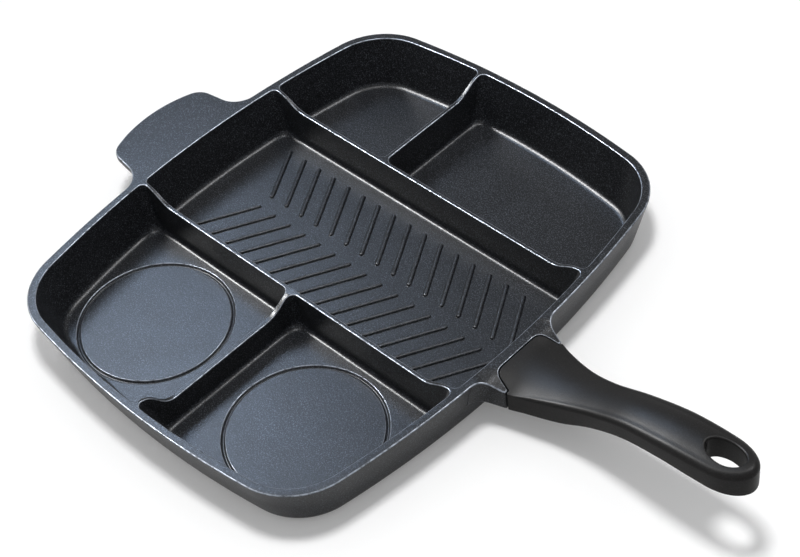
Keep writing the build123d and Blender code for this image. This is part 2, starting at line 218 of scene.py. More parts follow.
class StudioValues(bpy.types.PropertyGroup):
    """Camera, floor and lamps. Every lamp is a square that looks at the origin."""

    camera_place: spot("Camera place", "Of the camera's lens", (0.68243, -0.52087, 0.91055))
    camera_turn: FloatVectorProperty(
        name="Camera turn",
        description="Euler angles",
        default=(radians(42.981), radians(5.6075), radians(43.725)),
        subtype="EULER",
    )
    focal_length: FloatProperty(name="Focal length", description="In millimetres", default=81.23)
    shift_x: FloatProperty(name="Shift across", description="Of the lens", default=-0.01365)
    shift_y: FloatProperty(name="Shift up", description="Of the lens", default=-0.00897)
    floor_size: length("Floor size", "Side of the square floor", 12.0)
    sheen_place: spot("Sheen place", "Of the lamp beyond the helper tab", (-1.101, 0.393, 1.434))
    sheen_size: length("Sheen size", "Side of the lamp beyond the helper tab", 0.5)
    sheen_power: watts("Sheen power", "Of the lamp beyond the helper tab", 28)
    sheen_tint: colour("Sheen tint", "Of the lamp beyond the helper tab", (0.573, 0.74, 1.0))
    left_place: spot("Left place", "Of the softbox on the left", (-0.95, -0.42, 1.27))
    left_power: watts("Left power", "Of the softbox on the left", 130)
    back_place: spot("Back place", "Of the softbox behind", (0.5, 0.65, 1.37))
    back_power: watts("Back power", "Of the softbox behind", 30)
    softbox_size: length("Softbox size", "Side of each softbox", 0.45)
    top_place: spot("Top place", "Of the lamp above the pan", (0.1, -0.03, 1.79))
    top_size: length("Top size", "Side of the lamp above the pan", 0.3)
    top_power: watts("Top power", "Of the lamp above the pan", 19)
    world_strength: share("World strength", "Soft light from all round", 0.5)


SIZE_GROUPS = {
    "skillet_pan": PanSizes,
    "skillet_dividers": DividerSizes,
    "skillet_ribs": RibSizes,
    "skillet_fittings": FittingSizes,
    "skillet_grip": GripSizes,
    "skillet_finish": FinishValues,
    "skillet_studio": StudioValues,
}

# Plan curves: each point of an outline is (x, y, nx, ny), with the normal pointing out of the outline

# How far apart the points of an outline are, on long stretches and on small corners
SPACING = 2.5 * MM
CORNER_SPACING = 1.2 * MM

# How many steps a rounding has where a divider meets the wall, at the foot of a wall and on an upper edge
JUNCTION_STEPS = 10
FOOT_STEPS = 10
EDGE_STEPS = 4


def arc(centre, radius, start, end, steps, side=1):
    """Points on an arc between two angles, without the last. Side is -1 on a concave corner."""
    points = []
    for i in range(steps):
        angle = start + (end - start) * i / steps
        nx, ny = cos(angle), sin(angle)
        points.append((centre[0] + radius * nx, centre[1] + radius * ny, side * nx, side * ny))
    return points


def line(start, end, steps):
    """Points on a line, without the last, with the normal on its right."""
    dx, dy = end[0] - start[0], end[1] - start[1]
    run = hypot(dx, dy)
    nx, ny = dy / run, -dx / run
    return [(start[0] + dx * i / steps, start[1] + dy * i / steps, nx, ny) for i in range(steps)]


def steps_for(run, spacing=SPACING):
    """How many steps a stretch of an outline takes."""
    return max(2, ceil(run / spacing))


def mirrored(points, flip_x, flip_y):
    """An outline mirrored in x, y or both, still counter-clockwise."""
    sx, sy = (-1 if flip_x else 1), (-1 if flip_y else 1)
    turned = [(x * sx, y * sy, nx * sx, ny * sy) for x, y, nx, ny in points]
    return turned if sx * sy > 0 else turned[::-1]


def bow_drop(bow, half_side, position):
    """How far a bowed side has fallen away from its middle at a position along it."""
    radius = (half_side**2 + bow**2) / (2 * bow)
    return radius - sqrt(max(radius**2 - position**2, 0.0))


def meeting(centre_a, reach_a, centre_b, reach_b):
    """The point, in the first quadrant, at the given distances from two centres."""
    ax, ay = centre_a
    bx, by = centre_b
    apart = hypot(bx - ax, by - ay)
    ux, uy = (bx - ax) / apart, (by - ay) / apart
    along = (reach_a**2 - reach_b**2 + apart**2) / (2 * apart)
    away = sqrt(max(reach_a**2 - along**2, 0.0))
    found = [(ax + ux * along - uy * k, ay + uy * along + ux * k) for k in (away, -away)]
    return max(found, key=sum)


class Plan:
    """The pan's rounded square from above: bowed ends and sides, and round corners."""

    def __init__(self, along, across, end_bow, side_bow, corner):
        half_end = across / 2 - side_bow
        half_side = along / 2 - end_bow
        self.end_radius = (half_end**2 + end_bow**2) / (2 * end_bow)
        self.side_radius = (half_side**2 + side_bow**2) / (2 * side_bow)
        self.end_centre = along / 2 - self.end_radius
        self.side_centre = across / 2 - self.side_radius
        self.corner = corner
        self.corner_centre = meeting(
            (self.end_centre, 0.0),
            self.end_radius - corner,
            (0.0, self.side_centre),
            self.side_radius - corner,
        )
        kx, ky = self.corner_centre
        self.end_angle = atan2(ky, kx - self.end_centre)
        self.side_angle = atan2(ky - self.side_centre, kx)

    def outline(self, end_steps, side_steps, corner_steps):
        """The whole outline, counter-clockwise from the corner before the handle's wall."""
        a, b = self.end_angle, self.side_angle
        kx, ky = self.corner_centre
        ex, sy = self.end_centre, self.side_centre
        points = arc((ex, 0), self.end_radius, -a, a, end_steps)
        points += arc((kx, ky), self.corner, a, b, corner_steps)
        points += arc((0, sy), self.side_radius, b, pi - b, side_steps)
        points += arc((-kx, ky), self.corner, pi - b, pi - a, corner_steps)
        points += arc((-ex, 0), self.end_radius, pi - a, pi + a, end_steps)
        points += arc((-kx, -ky), self.corner, pi + a, pi + b, corner_steps)
        points += arc((0, -sy), self.side_radius, pi + b, 2 * pi - b, side_steps)
        points += arc((kx, -ky), self.corner, 2 * pi - b, 2 * pi - a, corner_steps)
        return points


def between(points_a, points_b, t):
    """The outline a share t of the way from one outline to another."""
    mixed = []
    for a, b in zip(points_a, points_b):
        x, y, nx, ny = (p + (q - p) * t for p, q in zip(a, b))
        size = hypot(nx, ny)
        mixed.append((x, y, nx / size, ny / size))
    return mixed


def rounded_path(corners):
    """Points along straight lines between corners (x, y, radius), rounded but for the first and the last."""
    points = []
    start = corners[0][:2]
    for before, (x, y, radius), after in zip(corners, corners[1:], corners[2:]):
        ux, uy = x - before[0], y - before[1]
        vx, vy = after[0] - x, after[1] - y
        u, v = hypot(ux, uy), hypot(vx, vy)
        ux, uy, vx, vy = ux / u, uy / u, vx / v, vy / v
        turn = atan2(ux * vy - uy * vx, ux * vx + uy * vy)
        side = 1 if turn > 0 else -1
        cut = radius * tan(abs(turn) / 2)
        entry = (x - ux * cut, y - uy * cut)
        centre = (entry[0] - side * uy * radius, entry[1] + side * ux * radius)
        points += line(start, entry, steps_for(hypot(entry[0] - start[0], entry[1] - start[1])))
        first = atan2(entry[1] - centre[1], entry[0] - centre[0])
        steps = max(4, ceil(abs(turn) * radius / CORNER_SPACING))
        points += arc(centre, radius, first, first + turn, steps, side)
        start = (x + vx * cut, y + vy * cut)
    end = corners[-1]
    points += line(start, end[:2], steps_for(hypot(end[0] - start[0], end[1] - start[1])))
    return points


# The pan's outlines and heights


def inner_plan(pan, inset_x, inset_y, corner):
    """The inner wall's outline at the rim, or further in."""
    return Plan(
        pan.rim_length - 2 * pan.rim_thickness - 2 * inset_x,
        pan.rim_width - 2 * pan.rim_thickness - 2 * inset_y,
        pan.end_bow,
        pan.side_bow,
        corner,
    )


def wall_plan(pan, z):
    """The outer wall's outline at a height."""
    lean = 2 * (1 - z / pan.height)
    return Plan(
        pan.rim_length - pan.foot_inset_x * lean,
        pan.rim_width - pan.foot_inset_y * lean,
        pan.end_bow,
        pan.side_bow,
        pan.corner + (pan.foot_corner - pan.corner) * lean / 2,
    )


def divider_half(dividers, height):
    """Half the thickness of a divider at a height above the base."""
    return dividers.thickness / 2 + (dividers.height - height) * tan(dividers.draft)


def long_dividers(dividers):
    """Centre lines of the front and the back long divider."""
    return (
        dividers.grill_offset - dividers.grill_width / 2,
        dividers.grill_offset + dividers.grill_width / 2,
    )


def corner_compartment(plan, near_x, near_y, junction, counts):
    """A compartment with one corner of the pan, in the first quadrant: x over near_x, y over near_y."""
    ex, sy = plan.end_centre, plan.side_centre
    reach = plan.end_radius - junction
    low = (ex + sqrt(reach**2 - (near_y + junction) ** 2), near_y + junction)
    low_angle = atan2(low[1], low[0] - ex)
    reach = plan.side_radius - junction
    high = (near_x + junction, sy + sqrt(reach**2 - (near_x + junction) ** 2))
    high_angle = atan2(high[1] - sy, high[0])
    inner = (near_x + junction, near_y + junction)
    return (
        line((inner[0], near_y), (low[0], near_y), counts["along"])
        + arc(low, junction, -pi / 2, low_angle, counts["junction"])
        + arc((ex, 0), plan.end_radius, low_angle, plan.end_angle, counts["end"])
        + arc(plan.corner_centre, plan.corner, plan.end_angle, plan.side_angle, counts["corner"])
        + arc((0, sy), plan.side_radius, plan.side_angle, high_angle, counts["side"])
        + arc(high, junction, high_angle, pi, counts["junction"])
        + line((near_x, high[1]), (near_x, inner[1]), counts["across"])
        + arc(inner, junction, pi, 1.5 * pi, counts["junction"])
    )


def grill_compartment(plan, front, back, junction, counts):
    """The compartment that runs from wall to wall between two long dividers."""
    ex = plan.end_centre
    reach = plan.end_radius - junction
    front_x = ex + sqrt(reach**2 - (front + junction) ** 2)
    back_x = ex + sqrt(reach**2 - (back - junction) ** 2)
    front_angle = atan2(front + junction, front_x - ex)
    back_angle = atan2(back - junction, back_x - ex)
    return (
        line((-front_x, front), (front_x, front), counts["along"])
        + arc((front_x, front + junction), junction, -pi / 2, front_angle, counts["junction"])
        + arc((ex, 0), plan.end_radius, front_angle, back_angle, counts["end"])
        + arc((back_x, back - junction), junction, back_angle, pi / 2, counts["junction"])
        + line((back_x, back), (-back_x, back), counts["along"])
        + arc((-back_x, back - junction), junction, pi / 2, pi - back_angle, counts["junction"])
        + arc((-ex, 0), plan.end_radius, pi - back_angle, pi - front_angle, counts["end"])
        + arc((-front_x, front + junction), junction, pi - front_angle, 1.5 * pi, counts["junction"])
    )


def compartment_outlines(pan, dividers):
    """For each compartment, its outline at the rim and at the floor, point for point."""
    front, back = long_dividers(dividers)
    rim = inner_plan(pan, 0.0, 0.0, pan.corner - pan.rim_thickness)
    floor = inner_plan(pan, pan.floor_inset_x, pan.floor_inset_y, pan.floor_corner)
    levels = (
        (rim, divider_half(dividers, pan.height), pan.rim_junction),
        (floor, divider_half(dividers, pan.floor_thickness), pan.floor_junction),
    )
    corner_run = pan.corner * (rim.side_angle - rim.end_angle)
    found = []
    for split, line_y, flip_x, flip_y in (
        (dividers.back_split, back, True, False),
        (dividers.back_split, back, False, False),
        (dividers.front_split, front, True, True),
        (dividers.front_split, front, False, True),
    ):
        near_x = -split if flip_x else split
        near_y = -line_y if flip_y else line_y
        counts = {
            "along": steps_for(pan.rim_length / 2 - near_x),
            "across": steps_for(pan.rim_width / 2 - near_y),
            "end": steps_for(rim.corner_centre[1] - near_y),
            "side": steps_for(rim.corner_centre[0] - near_x),
            "corner": steps_for(corner_run),
            "junction": JUNCTION_STEPS,
        }
        outlines = [
            corner_compartment(plan, near_x + half, near_y + half, junction, counts)
            for plan, half, junction in levels
        ]
        found.append([mirrored(outline, flip_x, flip_y) for outline in outlines])
    counts = {"along": steps_for(pan.rim_length), "end": steps_for(back - front), "junction": JUNCTION_STEPS}
    found.append(
        [
            grill_compartment(plan, front + half, back - half, junction, counts)
            for plan, half, junction in levels
        ]
    )
    return found


def ease(t):
    """A smooth rise from 0 to 1."""
    t = min(max(t, 0.0), 1.0)
    return t * t * (3 - 2 * t)


def rise_curve(along, run, drop):
    """Height of a smooth curve that rises by a drop over a run, level at both ends and steep between."""
    part = min(max(along / run, 0.0), 1.0)
    steepness = 0.92
    pull = 1 + steepness * drop / run
    low, high = 0.0, 1.0
    halvings = 16
    for _ in range(halvings):
        t = (low + high) / 2
        if (2 * pull - 2) * t**3 + (3 - 3 * pull) * t**2 + pull * t < part:
            low = t
        else:
            high = t
    return drop * ease((low + high) / 2)


def socket_top(fittings, pan, x, y):
    """Height of the socket's top, which falls from the flat rim to the handle's crown."""
    along = (x - pan.rim_length / 2) / fittings.socket_reach
    if along <= 0:
        return pan.height
    sag = bow_drop(fittings.edge_drop - fittings.crown_drop, fittings.socket_front_width / 2, y)
    return pan.height - (fittings.crown_drop + sag) * min(along, 1.0)


def top_height(pan, dividers, fittings, x, y):
    """Height of the rim, the dividers, the tab and the socket at a place."""
    front, back = long_dividers(dividers)
    band = divider_half(dividers, pan.floor_thickness) + pan.rim_junction
    rim_half_x = pan.rim_length / 2 - pan.rim_thickness
    rim_half_y = pan.rim_width / 2 - pan.rim_thickness
    half_end = pan.rim_width / 2 - pan.side_bow
    half_side = pan.rim_length / 2 - pan.end_bow
    dip = pan.height - dividers.height
    run = dividers.rise
    height = socket_top(fittings, pan, x, y)
    for centre in (front, back):
        if abs(y - centre) <= band:
            reach = rim_half_x - bow_drop(pan.end_bow, half_end, centre) - dividers.end_gap
            height = min(height, dividers.height + rise_curve(abs(x) - reach + run, run, dip))
    if abs(x - dividers.back_split) <= band and y >= back:
        reach = rim_half_y - bow_drop(pan.side_bow, half_side, dividers.back_split) - dividers.end_gap
        height = min(height, dividers.height + rise_curve(y - reach + run, run, dip))
    if abs(x - dividers.front_split) <= band and y <= front:
        reach = rim_half_y - bow_drop(pan.side_bow, half_side, dividers.front_split) - dividers.end_gap
        low = dividers.low_height
        rise = rise_curve(-y - reach + run, run, pan.height - low)
        fall = rise_curve(y - front + dividers.drop, dividers.drop, dividers.height - low)
        height = min(height, low + max(rise, fall))
    return height


def direction(start, end):
    """The unit direction from one point to another, and how far apart they are."""
    run = hypot(end[0] - start[0], end[1] - start[1])
    return (end[0] - start[0]) / run, (end[1] - start[1]) / run, run


def root_arc(plan, start, dx, dy, radius):
    """The concave arc from the end wall into a straight side, given a point and the direction of that side.

    Returns its points and the place where it meets the side.
    """
    offset = (start[0] - dy * radius, start[1] + dx * radius)
    centre = along_line(offset, (dx, dy), (plan.end_centre, 0), plan.end_radius + radius)
    on_wall = atan2(centre[1], centre[0] - plan.end_centre)
    steps = steps_for(radius, CORNER_SPACING)
    points = arc(centre, radius, pi + on_wall, pi + atan2(dx, -dy), steps, -1)
    return points, (centre[0] + dy * radius, centre[1] - dx * radius)


def tab_path(pan, fittings, z):
    """The helper tab's outline at a height, from the wall round its end and back, counter-clockwise."""
    half_root, half_tip = fittings.tab_root_width / 2, fittings.tab_tip_width / 2
    tip_x = -PAN_LOW.x
    root_x = pan.rim_length / 2 - pan.rim_thickness
    tip_radius = (half_tip**2 + fittings.tab_tip_bow**2) / (2 * fittings.tab_tip_bow)
    dx, dy, run = direction((root_x, half_root), (tip_x - fittings.tab_tip_bow, half_tip))
    nx, ny = -dy, dx
    upper, on_side = root_arc(wall_plan(pan, z), (root_x, half_root), dx, dy, fittings.tab_root)
    corner = fittings.tab_corner
    start = (root_x - nx * corner, half_root - ny * corner)
    corner_centre = along_line(start, (dx, dy), (tip_x - tip_radius, 0), tip_radius - corner)
    side_end = (corner_centre[0] + nx * corner, corner_centre[1] + ny * corner)
    tip_angle = atan2(corner_centre[1], corner_centre[0] - tip_x + tip_radius)
    upper += [(x, y, -nx, -ny) for x, y, nx, ny in line(on_side, side_end, steps_for(run))]
    upper += arc(corner_centre, corner, atan2(ny, nx), tip_angle, steps_for(corner, CORNER_SPACING))
    upper += arc((tip_x - tip_radius, 0), tip_radius, tip_angle, 0, steps_for(half_tip))
    upper.append((tip_x, 0.0, 1.0, 0.0))
    half = [(-x, y, -nx, ny) for x, y, nx, ny in upper]
    return half + [(x, -y, nx, -ny) for x, y, nx, ny in half[-2::-1]]


def along_line(start, heading, centre, reach):
    """The further point on a line at a given distance from a centre."""
    fx, fy = start[0] - centre[0], start[1] - centre[1]
    b = fx * heading[0] + fy * heading[1]
    c = fx * fx + fy * fy - reach * reach
    t = -b + sqrt(b * b - c)
    return start[0] + heading[0] * t, start[1] + heading[1] * t


def socket_path(pan, fittings, grip, z):
    """The socket's outline at a height, with the notch for the tongue, and which of its points are notch."""
    half_root, half_front = fittings.socket_root_width / 2, fittings.socket_front_width / 2
    front_x = PAN_HIGH.x
    root_x = pan.rim_length / 2 - pan.rim_thickness - pan.floor_inset_x
    dx, dy, _ = direction((root_x, half_root), (front_x, half_front))
    outer_root, on_side = root_arc(wall_plan(pan, z), (root_x, half_root), dx, dy, fittings.socket_root)
    (_, seat_front), (seat_x, seat_back, seat_corner) = tongue_corners(grip, fittings.seam, front_x)
    outer_edge = 1.0 * MM
    seat_edge = 0.5 * MM
    near_front = (front_x - 3 * dx * outer_edge, half_front - 3 * dy * outer_edge)
    lips = [
        (near_front[0], -near_front[1], 0.0),
        (front_x, -half_front, outer_edge),
        (front_x, -seat_front, seat_edge),
        (seat_x, -seat_back, seat_corner),
        (seat_x, seat_back, seat_corner),
        (front_x, seat_front, seat_edge),
        (front_x, half_front, outer_edge),
        (*near_front, 0.0),
    ]
    side_steps = 5
    points = [(x, -y, nx, -ny) for x, y, nx, ny in outer_root]
    points += line((on_side[0], -on_side[1]), (near_front[0], -near_front[1]), side_steps)
    points += rounded_path(lips) + line(near_front, on_side, side_steps)
    points += [(*on_side, -dy, dx)] + outer_root[::-1]
    notch_x, notch_half = seat_x - 0.1 * MM, seat_front + 0.2 * MM
    return points, [x > notch_x and abs(y) < notch_half for x, y, _, _ in points]


def tongue_corners(grip, gap, front_x):
    """The tongue's half outline, grown by a gap: its front corner, then its rounded back corner."""
    flare = (grip.tongue_front - grip.tongue_back) / 2 / grip.tongue_length
    back_x = PAN_HIGH.x - grip.tongue_length
    slant = gap * sqrt(1 + flare**2)
    front = grip.tongue_back / 2 + (front_x - back_x) * flare + slant
    back = grip.tongue_back / 2 - gap * flare + slant
    return (front_x, front), (back_x - gap, back, grip.tongue_corner + gap)


def top_outline(pan, fittings, grip, body):
    """The rim's outer outline with the tab and the socket, and each point's kind."""
    tab = tab_path(pan, fittings, pan.height - pan.rim_rounding)
    socket, in_notch = socket_path(pan, fittings, grip, pan.height - pan.rim_rounding)
    points, kinds = [], []
    for x, y, nx, ny in body:
        if x > 0 and abs(y) < abs(socket[0][1]):
            if "socket" not in kinds:
                points += socket
                kinds += ["notch" if hidden else "socket" for hidden in in_notch]
        elif x < 0 and abs(y) < abs(tab[0][1]):
            if "tab" not in kinds:
                points += tab
                kinds += ["tab"] * len(tab)
        else:
            points.append((x, y, nx, ny))
            kinds.append("rim")
    return points, kinds


# Mesh building


class Shell:
    """A mesh made of closed rings of points, bands between them, and flat or lifted fills."""

    def __init__(self):
        self.bm = bmesh.new()
        self.edge = self.bm.verts.layers.float.new("edge")

    def ring(self, points, edge=0.0):
        """Vertices for a list of (x, y, z). Edge marks them for the wear and the painted highlight along
        edges.
        """
        ring = [self.bm.verts.new(p) for p in points]
        for vertex in ring:
            vertex[self.edge] = edge
        return ring

    def band(self, upper, lower, inwards=False):
        """Faces between two closed rings, looking out of the ring or into it."""
        for i, j in zip(range(len(upper)), list(range(1, len(upper))) + [0]):
            corners = (upper[i], lower[i], lower[j], upper[j])
            self.bm.faces.new(corners[::-1] if inwards else corners)

    def bands(self, rings, inwards=False):
        """Bands from each ring to the next. Returns the first ring and the last."""
        for upper, lower in zip(rings, rings[1:]):
            self.band(upper, lower, inwards)
        return rings[0], rings[-1]

    def strip(self, upper, lower):
        """Faces between two open rows, looking to the right of their direction."""
        for i in range(len(upper) - 1):
            self.bm.faces.new((upper[i], lower[i], lower[i + 1], upper[i + 1]))

    def cap(self, ring, up=True):
        """One flat face inside a ring."""
        self.bm.faces.new(ring if up else ring[::-1])

    def fill(self, outer, holes=(), extra=(), lift=None, up=True):
        """Triangles between an outer ring and rings inside it. Extra points (x, y) are lifted to a height."""
        rings = [outer, *holes]
        vertices, owner, borders = [], [], []
        for number, ring in enumerate(rings):
            first = len(vertices)
            count = len(ring)
            vertices += ring
            owner += [number] * count
            borders += [(first + i, first + (i + 1) % count) for i in range(count)]
        for x, y in extra:
            vertices.append(self.bm.verts.new((x, y, lift(x, y))))
            owner.append(-1)
        flat = [v.co.xy for v in vertices]
        inside_only, same_place = 1, 0.0001 * MM
        _, _, triangles, sources, _, _ = delaunay_2d_cdt(flat, borders, [], inside_only, same_place)
        for triangle in triangles:
            picked = [sources[i][0] for i in triangle if sources[i]]
            owners = {owner[i] for i in picked}
            if len(picked) < 3 or (len(owners) == 1 and owners.pop() > 0):
                continue
            corners = [vertices[i] for i in picked]
            if len(set(corners)) == 3 and self.bm.faces.get(corners) is None:
                a, b, c = (v.co.xy for v in corners)
                turned = (b - a).cross(c - a) > 0
                self.bm.faces.new(corners if turned == up else corners[::-1])

    def piece(self, name, material):
        """The finished object, smooth, with the flat faces kept flat by weighted normals."""
        merge = 0.02 * MM
        bmesh.ops.remove_doubles(self.bm, verts=self.bm.verts, dist=merge)
        bmesh.ops.dissolve_degenerate(self.bm, dist=merge / 4, edges=self.bm.edges)
        for face in self.bm.faces:
            face.smooth = True
        mesh = bpy.data.meshes.new(name)
        self.bm.to_mesh(mesh)
        self.bm.free()
        mesh.materials.append(material)
        obj = bpy.data.objects.new(name, mesh)
        bpy.context.scene.collection.objects.link(obj)
        weigh = obj.modifiers.new("Flat faces", "WEIGHTED_NORMAL")
        weigh.weight = 90
        return baked(obj)


def baked(obj):
    """The object with its modifiers turned into a plain mesh."""
    bpy.context.view_layer.update()
    evaluated = obj.evaluated_get(bpy.context.evaluated_depsgraph_get())
    mesh = bpy.data.meshes.new_from_object(evaluated)
    obj.modifiers.clear()
    obj.data = mesh
    mesh.name = obj.name
    return obj


def quarter(steps):
    """Angles over a quarter turn, both ends included."""
    return [pi / 2 * i / steps for i in range(steps + 1)]


def corner_profile(radius, lean, rise, steps):
    """A rounding between a leaning wall and a level floor, as (distance from the wall's foot, height).

    Lean is how far the wall moves outwards over its rise, and the wall's foot is at (0, 0).
    """
    slope = atan2(lean, rise)
    centre = radius * tan((pi / 2 - slope) / 2)
    first = pi + slope
    return [
        (centre + radius * cos(angle), radius + radius * sin(angle))
        for angle in (first + (1.5 * pi - first) * i / steps for i in range(steps + 1))
    ]


def room_before(x, y, nx, ny, circle):
    """How far a point can move inwards, against its normal, before it reaches a circle."""
    (cx, cy), radius = circle
    along = (x - cx) * nx + (y - cy) * ny
    left = radius**2 - (x - cx) ** 2 - (y - cy) ** 2 + along**2
    return along - sqrt(left) if left > 0 else pi * radius


def foot_radii(pan, dividers, floor_loop):
    """The floor rounding at each point of a compartment's outline.

    It is the divider's on straight stretches and the wall's elsewhere, blended between.
    """
    count = len(floor_loop)
    normals = [point[2:] for point in floor_loop]
    at_wall = [float(normals[i] not in (normals[i - 1], normals[(i + 1) % count])) for i in range(count)]
    blending_passes = 12
    for _ in range(blending_passes):
        at_wall = [(at_wall[i - 1] + at_wall[i] + at_wall[(i + 1) % count]) / 3 for i in range(count)]
    return [dividers.foot_rounding + (pan.floor_rounding - dividers.foot_rounding) * part for part in at_wall]


def compartment_rings(shell, pan, dividers, top, rim_loop, floor_loop, circle=None):
    """The edge, wall and floor rounding of one compartment. Returns its top ring and the one on its floor.

    Where the floor has a circular groove, the rounding draws in so that it ends outside the circle.
    """
    rise = pan.height - pan.floor_thickness
    radius = pan.edge_rounding

    def wall_point(i, height):
        t = (height - pan.floor_thickness) / rise
        return [a + (b - a) * t for a, b in zip(floor_loop[i], rim_loop[i])]

    # The wall leans, so the place of its top and the height there settle together
    settling_passes = 12
    heights = []
    for i in range(len(rim_loop)):
        height = pan.height
        for _ in range(settling_passes):
            x, y, _, _ = wall_point(i, height - radius)
            height = (height + 2 * top(x, y)) / 3
        heights.append(height)

    rings = []
    for angle in quarter(EDGE_STEPS):
        points = []
        for i, height in enumerate(heights):
            x, y, nx, ny = wall_point(i, height - radius)
            out = radius * (1 - sin(angle))
            points.append((x + nx * out, y + ny * out, height - radius * (1 - cos(angle))))
        # The middle of the upper edge's rounding is marked for wear and a painted highlight line
        rings.append(shell.ring(points, edge=sin(2 * angle)))
    foot = []
    radii = foot_radii(pan, dividers, floor_loop)
    for i, (x, y, nx, ny) in enumerate(floor_loop):
        rim = rim_loop[i]
        lean = (rim[0] - x) * nx + (rim[1] - y) * ny
        profile = corner_profile(radii[i], lean, rise, FOOT_STEPS)
        if circle:
            share_left = min(1.0, room_before(x, y, nx, ny, circle) / profile[-1][0])
            profile = [(inwards * share_left if inwards > 0 else inwards, up) for inwards, up in profile]
        foot.append((x, y, nx, ny, profile))
    start_heights = [pan.floor_thickness + profile[0][1] for _, _, _, _, profile in foot]
    for t in (0.25, 0.5, 0.75):
        points = []
        for i, height in enumerate(heights):
            z = height - radius + (start_heights[i] - height + radius) * t
            x, y, _, _ = wall_point(i, z)
            points.append((x, y, z))
        rings.append(shell.ring(points))
    for k in range(FOOT_STEPS + 1):
        points = []
        for x, y, nx, ny, profile in foot:
            inwards, up = profile[k]
            points.append((x - nx * inwards, y - ny * inwards, pan.floor_thickness + up))
        rings.append(shell.ring(points))
    return shell.bands(rings, inwards=True)


def groove_circles(pan, dividers):
    """Centre and radius of the circular groove, for each compartment that has one."""
    front, _ = long_dividers(dividers)
    half = divider_half(dividers, pan.floor_thickness)
    wall_x = pan.rim_length / 2 - pan.rim_thickness - pan.floor_inset_x
    wall_y = pan.rim_width / 2 - pan.rim_thickness - pan.floor_inset_y
    radius = (wall_y + front - half) / 2 - dividers.ring_margin
    return {
        number: (((dividers.front_split + side * (half + wall_x)) / 2, (front - half - wall_y) / 2), radius)
        for number, side in ((2, -1), (3, 1))
    }


# Half of the circular groove's section, as (share of its half width, share of its depth), from the floor in
GROOVE_PROFILE = (
    (1.3, 0.0),
    (1.16, -0.04),
    (1.04, -0.14),
    (0.84, -0.4),
    (0.56, -0.74),
    (0.3, -0.95),
    (0.1, -1.0),
)
GROOVE_STEPS = 128


def groove_rings(shell, centre, radius, width, depth, floor):
    """A circular groove with soft lips. Returns its outer and inner ring."""
    angles = [2 * pi * i / GROOVE_STEPS for i in range(GROOVE_STEPS)]
    rings = []
    for out, down in (*GROOVE_PROFILE, *((-out, down) for out, down in GROOVE_PROFILE[::-1])):
        r = radius + out * (width / 2)
        z = floor + down * depth
        # The groove's lips are marked for wear and a painted highlight
        at_lip = -0.2 < down < 0.0
        points = [(centre[0] + r * cos(a), centre[1] + r * sin(a), z) for a in angles]
        rings.append(shell.ring(points, edge=float(at_lip)))
    return shell.bands(rings, inwards=True)


def rounded_edge(shell, points, tops, radii, sign=1, steps=EDGE_STEPS, wear_and_highlight=1.0, hollow=False):
    """Rings round the edge of an outline, from the flat top to its side. Returns the first and the last.

    Sign -1 turns the edge upside down, and hollow is for the edge of a hole.
    """
    rings = []
    for angle in quarter(steps):
        row = []
        for (x, y, nx, ny), top, radius in zip(points, tops, radii):
            inset = radius * (1 - sin(angle))
            row.append((x - nx * inset, y - ny * inset, top - sign * radius * (1 - cos(angle))))
        # The middle of the rounding is marked for wear and a painted highlight along the edge
        rings.append(shell.ring(row, edge=wear_and_highlight * sin(2 * angle)))
    return shell.bands(rings, inwards=hollow == (sign > 0))


def outer_wall(shell, pan, body, base):
    """The outer wall from the rim's edge down, and the base. The two outlines match point for point."""
    under_edge = pan.height - pan.rim_rounding
    profiles = []
    for (x, y, nx, ny), (rim_x, rim_y, _, _) in zip(base, body):
        lean = (rim_x - x) * nx + (rim_y - y) * ny
        profiles.append(corner_profile(pan.foot_rounding, lean, pan.height, FOOT_STEPS))
    rings = []
    for t in (0.0, 0.35, 0.7):
        row = []
        for (x, y, _, _), (rim_x, rim_y, _, _), profile in zip(base, body, profiles):
            z = under_edge + (profile[0][1] - under_edge) * t
            share_up = z / pan.height
            row.append((x + (rim_x - x) * share_up, y + (rim_y - y) * share_up, z))
        rings.append(shell.ring(row))
    for k in range(FOOT_STEPS + 1):
        row = []
        for (x, y, nx, ny), profile in zip(base, profiles):
            inwards, up = profile[k]
            row.append((x - nx * inwards, y - ny * inwards, up))
        rings.append(shell.ring(row))
    shell.bands(rings)
    shell.cap(rings[-1], up=False)


def rows_down(shell, pan, path_at, upper, levels):
    """Strips down a side of the tab or the socket, from a row on its upper edge. Returns the lowest row.

    A level is (inset, height), and each row has one more point inside the wall at each end.
    """
    above = None
    for inset, z in [(0.0, upper[0].co.z), *levels]:
        row = [(x - nx * inset, y - ny * inset, z) for x, y, nx, ny in path_at(z)]
        ends = [(x - pan.rim_thickness / 2 * (1 if x > 0 else -1), y, z) for x, y, _ in (row[0], row[-1])]
        if above:
            # Rows on the rounded lower edge are marked for wear and a painted highlight
            row = shell.ring([ends[0], *row, ends[1]], edge=0.5 if inset else 0.0)
            shell.strip(above, row)
        else:
            row = [*shell.ring(ends[:1]), *upper, *shell.ring(ends[1:])]
        above = row
    return above


def through_wall(shell, pan, row):
    """A row's ends joined by more points along the middle of the wall, so that a cap stays inside it."""
    (x0, y0, z), (x1, y1, _) = row[0].co, row[-1].co
    side = 1 if x0 > 0 else -1
    centre = side * wall_plan(pan, z).end_centre
    reach = hypot(x0 - centre, y0)
    first, last = atan2(y1, (x1 - centre) * side), atan2(y0, (x0 - centre) * side)
    steps = 16
    angles = [first + (last - first) * i / steps for i in range(1, steps)]
    return row + shell.ring([(centre + side * reach * cos(a), reach * sin(a), z) for a in angles])


